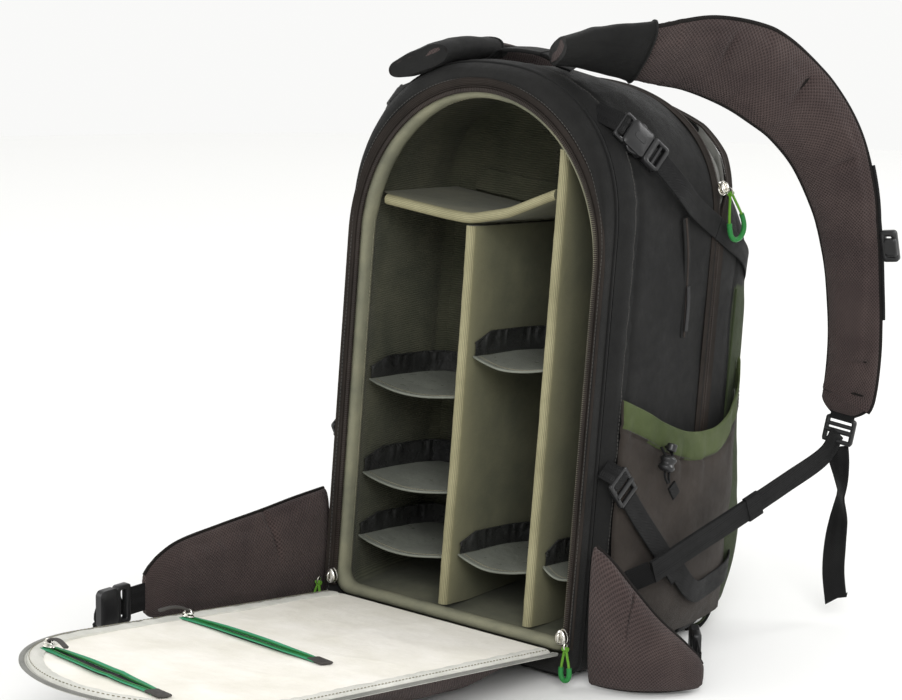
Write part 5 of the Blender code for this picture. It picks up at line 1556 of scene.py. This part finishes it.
def buildPanelFace():
    size = panelSizes
    x, w = archGrid(bag["half"] - size["edge"], size["edge"] + 0.001, bag["height"] - size["edge"],
                    bag["rise"], bag["corner"], 1.0,
                    sides=100, over=160, under=60)
    x, w = x[0], w[0]
    rows = []
    bottom = size["face"] - size["board"]
    for scale, v in ((0.02, bottom), (0.5, bottom), (0.9, bottom), (0.994, bottom + 0.0002),
                     (1.0, bottom + 0.001), (1.0, size["face"] - 0.001)):
        rows.append(onPanel(x * scale, v, 0.22 + (w - 0.22) * scale))
    for scale in np.concatenate([[0.996, 0.985, 0.97], np.linspace(0.95, 0.05, 44), [0.01]]):
        px, pw = x * scale, 0.22 + (w - 0.22) * scale
        rows.append(onPanel(px, size["face"] + panelWave(px, pw) * min((1 - scale) / 0.04, 1), pw))
    addGrid("panel_face_cloth", np.array(rows), "panelCloth", "back_panel", nodes=["panel_board"])
    # crinkled binding round the face, and the panel's own half of the zip
    rows = []
    for inset, v in ((0.0050, -0.0022), (0.0056, 0.0002), (0.0075, 0.0010), (0.0105, 0.0012),
                     (0.0145, 0.0011), (0.0175, 0.0004),
                     (0.0178, -0.0016), (0.010, -0.0030)):
        curve = zipCurve(-inset, 0.016, 520)
        p = np.stack([curve[:, 0], 0 * curve[:, 0], curve[:, 1]], -1)
        crinkle = softNoise(p * [1, 1, 1], 0.0062, 104) * 0.0006 * (v > 0)
        rows.append(onPanel(curve[:, 0], v + crinkle, curve[:, 1]))
    addGrid("panel_binding", np.array(rows).transpose(1, 0, 2), "paleBinding", "back_panel")
    rows = []
    for inset, v in ((0.0006, -0.0034), (0.0006, -0.0022), (0.0040, -0.0014), (0.0058, -0.0016),
                     (0.0058, -0.0030), (0.0040, -0.0036)):
        curve = zipCurve(-inset, 0.010, 460)
        rows.append(onPanel(curve[:, 0], v, curve[:, 1]))
    addGrid("panel_zip_tape", np.array(rows).transpose(1, 0, 2), "greyBinding", "back_panel",
            nodes=["panel_zip_chain"])
    teeth = zipCurve(-0.0010, 0.012, 600)
    spots = onPanel(teeth[:, 0], -0.0016, teeth[:, 1])
    way = unit(np.gradient(spots, axis=0))
    up = unit(onPanel(0, 1, 0) - onPanel(0, 0, 0))
    addCopies("panel_zip_coil", spots, (np.cross(up, way), way, np.broadcast_to(up, spots.shape)),
              (0.0040, 0.0012, 0.0020), "greyCoil",
              "back_panel")
    line = zipCurve(-0.0066, 0.020, 300)
    addStitches("panel_binding_stitches", onPanel(line[:, 0], 0.0014, line[:, 1]), up, "paleThread",
                "back_panel", pitch=0.0042)


def buildPanelPad():
    # the padded belly on the panel's outer face: a lumbar swell near the hinge that thins towards the top
    size = panelSizes
    low = size["face"] - size["board"] - 0.0004
    share = np.array([0.035, 0.098, 0.174, 0.229, 0.327, 0.436, 0.566, 0.697, 0.795, 0.882, 0.941])
    depth = np.array([0.007, 0.021, 0.037, size["lumbar"], 0.040, 0.032, 0.027, 0.025, 0.023, 0.019,
                      0.010]) - 0.0022
    curve = smoothPath(np.stack([share * bag["height"], depth], -1), 110)
    w, thick = curve[:, :1], curve[:, 1:]
    straight = bag["height"] - bag["rise"]
    part = ((w - straight) / (bag["rise"] - size["padMargin"])).clip(0, 1)
    half = (bag["half"] - size["padMargin"] - 0.001) * np.sqrt((1 - part ** 2).clip(0.05))
    t = np.linspace(-1, 1, 60)[None]
    belly = (1 - t ** 4).clip(0) ** 0.8
    channel = 1 - 0.16 * np.exp(-(t / 0.07) ** 2) - 0.10 * np.exp(-((np.abs(t) - 0.52) / 0.05) ** 2)
    under = low - 0.003 - (thick - 0.003).clip(0.001) * belly * channel
    x = half * t
    p = np.stack([x, 0 * x, w + 0 * x], -1)
    under = under + softNoise(p, 0.03, 105) * 0.0010
    skin = onPanel(x, np.minimum(under, low - 0.002), w)
    top = onPanel(half * np.linspace(1, -1, 14)[None], low, w)
    grid = np.concatenate([skin, top], axis=1)
    made = addGrid("panel_belly", grid, "spacerMesh", "back_panel", nodes=["panel_pad"])
    rim = np.vstack([np.hstack([half, w]), np.hstack([-half, w])[::-1]])
    addTube("panel_belly_binding", onPanel(rim[:, 0], low - 0.0022, rim[:, 1]), 0.0018, "darkBinding",
            "back_panel", loop=True, sides=8)


def buildPanelPocketZip(index, node, start, end, gape):
    # two green tapes that part slightly over a dark band of painted shade in the slit, with a coil on each
    # and a tab over the far end
    count = 120
    t = np.linspace(0, 1, count)
    x = start[0] + (end[0] - start[0]) * t
    w = start[1] + (end[1] - start[1]) * (0.2 * t + 0.8 * t ** 1.6)
    up = unit(onPanel(0, 1, 0) - onPanel(0, 0, 0))
    alongW = onPanel(0, 0, 1) - onPanel(0, 0, 0)
    face = panelSizes["face"] + panelWave(x, w)
    gap = 0.0012 + gape * np.sin(math.pi * (t * 0.86 + 0.1)).clip(0) ** 1.2
    # painted shade: a dark band under the parted tapes stands in for the shadow inside the pocket
    slit = onPanel(x, face + 0.0004, w)
    addBand("pocket_slit_%d" % index, slit[3:-3], alongW, 1.0, 0.0006, "darkSlit", "back_panel",
            wide=(gap[3:-3] + 0.002))
    for name, k in (("near", -1), ("far", 1)):
        mid = w + k * (gap / 2 + 0.0026)
        path = onPanel(x, face + 0.0012 + 0.0010 * np.sin(math.pi * t), mid)
        tilt = alongW + up * k * 0.35 * np.sin(math.pi * t)[:, None]
        addBand("pocket_tape_%s_%d" % (name, index), path, tilt, 0.0050, 0.0011, "greenTape", "back_panel")
        line = onPanel(x, face + 0.0017 + 0.0006 * np.sin(math.pi * t), w + k * (gap / 2 + 0.0004))
        spots = evenly(line, 130)
        way = unit(np.gradient(spots, axis=0))
        addCopies("pocket_coil_%s_%d" % (name, index), spots,
                  (np.cross(up, way), way, np.broadcast_to(up, spots.shape)),
                  (0.0016, 0.0009, 0.0013), "greenTube", "back_panel")
    tab = onPanel(x[-1] + 0.001, face[-1] + 0.0018, w[-1])
    across = unit(onPanel(1, 0, 0.18) - onPanel(0, 0, 0))
    addPlate("pocket_tab_%d" % index, roundedRect(0.019, 0.0125, 0.001, 5), tab,
             (across, np.cross(up, across), up), 0.0020, "darkTab", "back_panel")
    spot = meshCorners(node).mean(axis=0)
    addSlider("pocket_slider_%d" % index, node, node, spot, onPanel(1, 0, 0) - onPanel(0, 0, 0), up,
              (0.0115, 0.0080, 0.0046))
    lead = spot + up * 0.003
    back = unit(onPanel(1, 0, 0.35) - onPanel(0, 0,
                                              0)) if index else unit(onPanel(-0.2, 0, 1) - onPanel(0, 0, 0))
    path = smoothPath([lead, lead + back * 0.008 + up * 0.003, lead + back * 0.018 + up * 0.004,
                       lead + back * 0.030 + up * 0.002], 30)
    addBand("pocket_pull_%d" % index, path, np.cross(up, back), 0.0046, 0.0022, "darkTab", node)


def addSlider(name, node, body, centre, way, up, size):
    # a die-cast slider: two shield plates on a post, and a bridge that carries the pull
    way, up = unit(np.asarray(way, float)), unit(np.asarray(up, float))
    side = np.cross(up, way)
    t = np.linspace(0, 2 * math.pi, 40, endpoint=False)
    shield = np.stack([np.cos(t) * size[0] / 2, np.sin(t) * size[1] / 2 * (1 - 0.22 * np.cos(t)) * 1.08],
                      -1)
    axes = (way, side, up)
    addPlate(name + "_sole", shield, centre - up * size[2] * 0.34, axes, size[2] * 0.26, "silverMetal",
             body, [node] if node else ())
    addPlate(name + "_cap", shield * 0.94, centre + up * size[2] * 0.22, axes, size[2] * 0.30,
             "silverMetal", body, crown=0.5)
    addPlate(name + "_post", roundedRect(size[0] * 0.34, size[1] * 0.2, 0.0005),
             centre - way * size[0] * 0.22, axes, size[2] * 0.7,
             "silverMetal", body, edge=0.0003)
    bridge = smoothPath([centre - way * size[0] * 0.34 + up * size[2] * 0.35,
                         centre - way * size[0] * 0.24 + up * size[2] * 0.74,
                         centre + way * size[0] * 0.16 + up * size[2] * 0.74,
                         centre + way * size[0] * 0.28 + up * size[2] * 0.35], 24)
    addTube(name + "_bridge", bridge, 0.0009, "silverMetal", body, 8)


def buildPull(name, node, body, tubeShare):
    # a cord loop with a moulded tube on its far half, hung on a small wire link
    co = meshCorners(node)
    joint = next(j for j in frame["joints"] if j["child"] == body)
    pivot = np.array(joint["pos_m"])
    centre = co.mean(axis=0)
    spread = np.linalg.svd(co - centre, full_matrices=False)[2]
    far = co[np.argmax(np.linalg.norm(co - pivot, axis=1))]
    drop = unit((centre - pivot))
    normal = spread[2]
    across = unit(np.cross(normal, drop))
    reach = (far - pivot) @ drop
    wide = np.abs((co - centre) @ across).max() - 0.0014
    t = np.linspace(0, 2 * math.pi, 96, endpoint=False)
    share = 0.5 - 0.5 * np.cos(t)
    swell = np.sin(t) * (0.22 + 0.78 * share ** 1.3)
    swell = swell / np.abs(swell).max() * wide
    path = pivot + drop * (0.003 + (reach - 0.0045) * share)[:, None] + across * swell[:, None]
    addTube(name + "_cord", path, 0.0012, "greenCord", body, 8, loop=True, nodes=[node])
    held = share > 1 - tubeShare
    addTube(name + "_tube", path[held], 0.0023, "greenTube", body, 12)
    addTube(name + "_knot", np.array([pivot + drop * 0.0035
                                      + across * a for a in np.linspace(-0.0026, 0.0026, 8)]), 0.0020,
            "greenCord", body, 8)
    link = pivot + drop * (0.0012 + 0.0030 * np.cos(t[::4]))[:, None] + normal * (0.0022
                                                                                  * np.sin(t[::4]))[:, None]
    addTube(name + "_link", link, 0.0007, "silverMetal", body, 6, loop=True)


def buildPanelHinge():
    # the cloth that joins the panel to the bag along its lower edge
    x = np.linspace(-bag["half"] + 0.016, bag["half"] - 0.016, 90)
    bagSide = leaned(x, 0.0010, -0.0066)
    panelSide = onPanel(x, -0.0030, 0.0120)
    t = np.linspace(0, 1, 14)[:, None, None]
    sag = (0.0022 * np.sin(math.pi * t)) * np.array([0, 0, -1.0])
    mid = bagSide[None] * (1 - t) + panelSide[None] * t + sag
    mid = mid + softNoise(mid, 0.014, 107)[..., None] * 0.0005 * np.array([0, 0, 1.0])
    lift = np.array([0, -0.3, 0.95]) * 0.0006
    grid = np.concatenate([mid + lift, mid[::-1] - lift])
    made = addGrid("panel_hinge_cloth", grid.transpose(1, 0, 2), "foamLining", None)
    tuple(leaned(0, 0.0010, -0.0066))
    tuple(onPanel(0, -0.0030, 0.0120))
    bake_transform(made)


addFinish("paleBinding", "panel", (0.56, 0.56, 0.51), (0.72, 0.71, 0.66), weave="plain", pitch=0.0011,
          rough=0.6, weaveShadeStrength=0.12, crease=0.6)
# painted shade for the pocket slits
addFinish("darkSlit", "zip", (0.020, 0.022, 0.021), (0.05, 0.05, 0.055), weave="grain", pitch=0.002,
          rough=0.8)
addFinish("darkTab", "satin", (0.060, 0.055, 0.052), (0.085, 0.080, 0.075), weave="plain", pitch=0.0009,
          rough=0.6)

buildHarness()
for end, side in (("right", 1), ("left", -1)):
    buildWing(end, side)
buildPanelFace()
buildPanelPad()
buildPanelHinge()
buildPanelPocketZip(0, "panel_slider_low", (-0.112, 0.2130), (0.046, 0.2250), 0.0062)
buildPanelPocketZip(1, "panel_slider_high", (-0.094, 0.3880), (0.050, 0.4130), 0.0090)
for end in ("right", "left"):
    spot = meshCorners("main_slider_" + end).mean(axis=0)
    addSlider("main_slider_" + end + "_body", "main_slider_" + end, "main_slider_" + end, spot,
              leanedWay(0, 0, 1),
              leanedWay(0, -1, 0), (0.0140, 0.0105, 0.0064))
    buildPull("main_pull_" + end, "zip_pull_" + end, "zip_pull_" + end, 0.42)
spot = meshCorners("front_slider").mean(axis=0)
travel = np.array(jointNamed("front_slider_travel")["axis"])
lift = np.cross(travel, leanedWay(0, 1, 0))
addSlider("front_slider_body", "front_slider", "front_slider", spot, travel, lift * np.sign(lift[2]),
          (0.0130, 0.0105, 0.0060))
buildPull("front_pull_loop", "front_pull", "front_pull", 0.45)
base = frame["nodes"]["base_pad"]
base.data.materials.clear()
base.data.materials.append(finishes["coatedBase"][0])
print("harness and panel done")


# studio

def buildStudio():
    floor = 3.0
    mesh = bpy.data.meshes.new("floor")
    turn = np.linspace(0, 2 * math.pi, 64, endpoint=False)
    ring = np.stack([floor * np.cos(turn), floor * np.sin(turn), 0 * turn - 0.0006], -1)
    mesh.from_pydata(ring.tolist(), [], [list(range(64))])
    made = bpy.data.objects.new("floor", mesh)
    bpy.context.scene.collection.objects.link(made)
    pale = bpy.data.materials.new("paleFloor")
    pale.use_nodes = True
    pale.node_tree.nodes["Principled BSDF"].inputs["Base Color"].default_value = (0.86, 0.86, 0.85, 1)
    pale.node_tree.nodes["Principled BSDF"].inputs["Roughness"].default_value = 0.8
    mesh.materials.append(pale)
    room = bpy.data.worlds.new("room")
    room.use_nodes = True
    room.node_tree.nodes["Background"].inputs[0].default_value = (1.0, 1.0, 0.99, 1)
    room.node_tree.nodes["Background"].inputs[1].default_value = 0.95
    bpy.context.scene.world = room
    for name, place, aim, size, power in (("key", (2.2, -2.6, 2.2), (0, 0, 0.25), 1.6, 75),
                                          ("fill", (-2.4, -2.2, 1.2), (0, 0, 0.2), 2.2, 28),
                                          ("rim", (1.8, 2.2, 1.8), (0, 0, 0.3), 1.5, 40)):
        light = bpy.data.lights.new(name, "AREA")
        light.size = size
        light.energy = power
        lamp = bpy.data.objects.new(name, light)
        bpy.context.scene.collection.objects.link(lamp)
        lamp.location = place
        lamp.rotation_euler = (Vector(aim) - Vector(place)).to_track_quat("-Z", "Y").to_euler()
    bpy.context.scene.view_settings.view_transform = "Standard"


def placeCamera():
    # a long lens from the front right, slightly above
    view = {"place": (1.374, -1.858, 0.784), "azimuth": math.radians(38.04), "pitch": math.radians(-12.99),
            "roll": math.radians(1.11), "lens": 107.62}
    a, p, r = view["azimuth"], view["pitch"], view["roll"]
    level = Vector((-math.sin(a), math.cos(a), 0))
    right = Vector((math.cos(a), math.sin(a), 0))
    forward = level * math.cos(p) + Vector((0, 0, 1)) * math.sin(p)
    up = Vector((0, 0, 1)) * math.cos(p) - level * math.sin(p)
    x = right * math.cos(r) + up * math.sin(r)
    y = up * math.cos(r) - right * math.sin(r)
    data = bpy.data.cameras.new("camera")
    data.lens = view["lens"]
    data.sensor_width = 36
    camera = bpy.data.objects.new("camera", data)
    bpy.context.scene.collection.objects.link(camera)
    camera.matrix_world = Matrix(((x.x, y.x, -forward.x, view["place"][0]),
                                  (x.y, y.y, -forward.y, view["place"][1]),
                                  (x.z, y.z, -forward.z, view["place"][2]), (0, 0, 0, 1)))
    bpy.context.scene.camera = camera


buildStudio()
placeCamera()
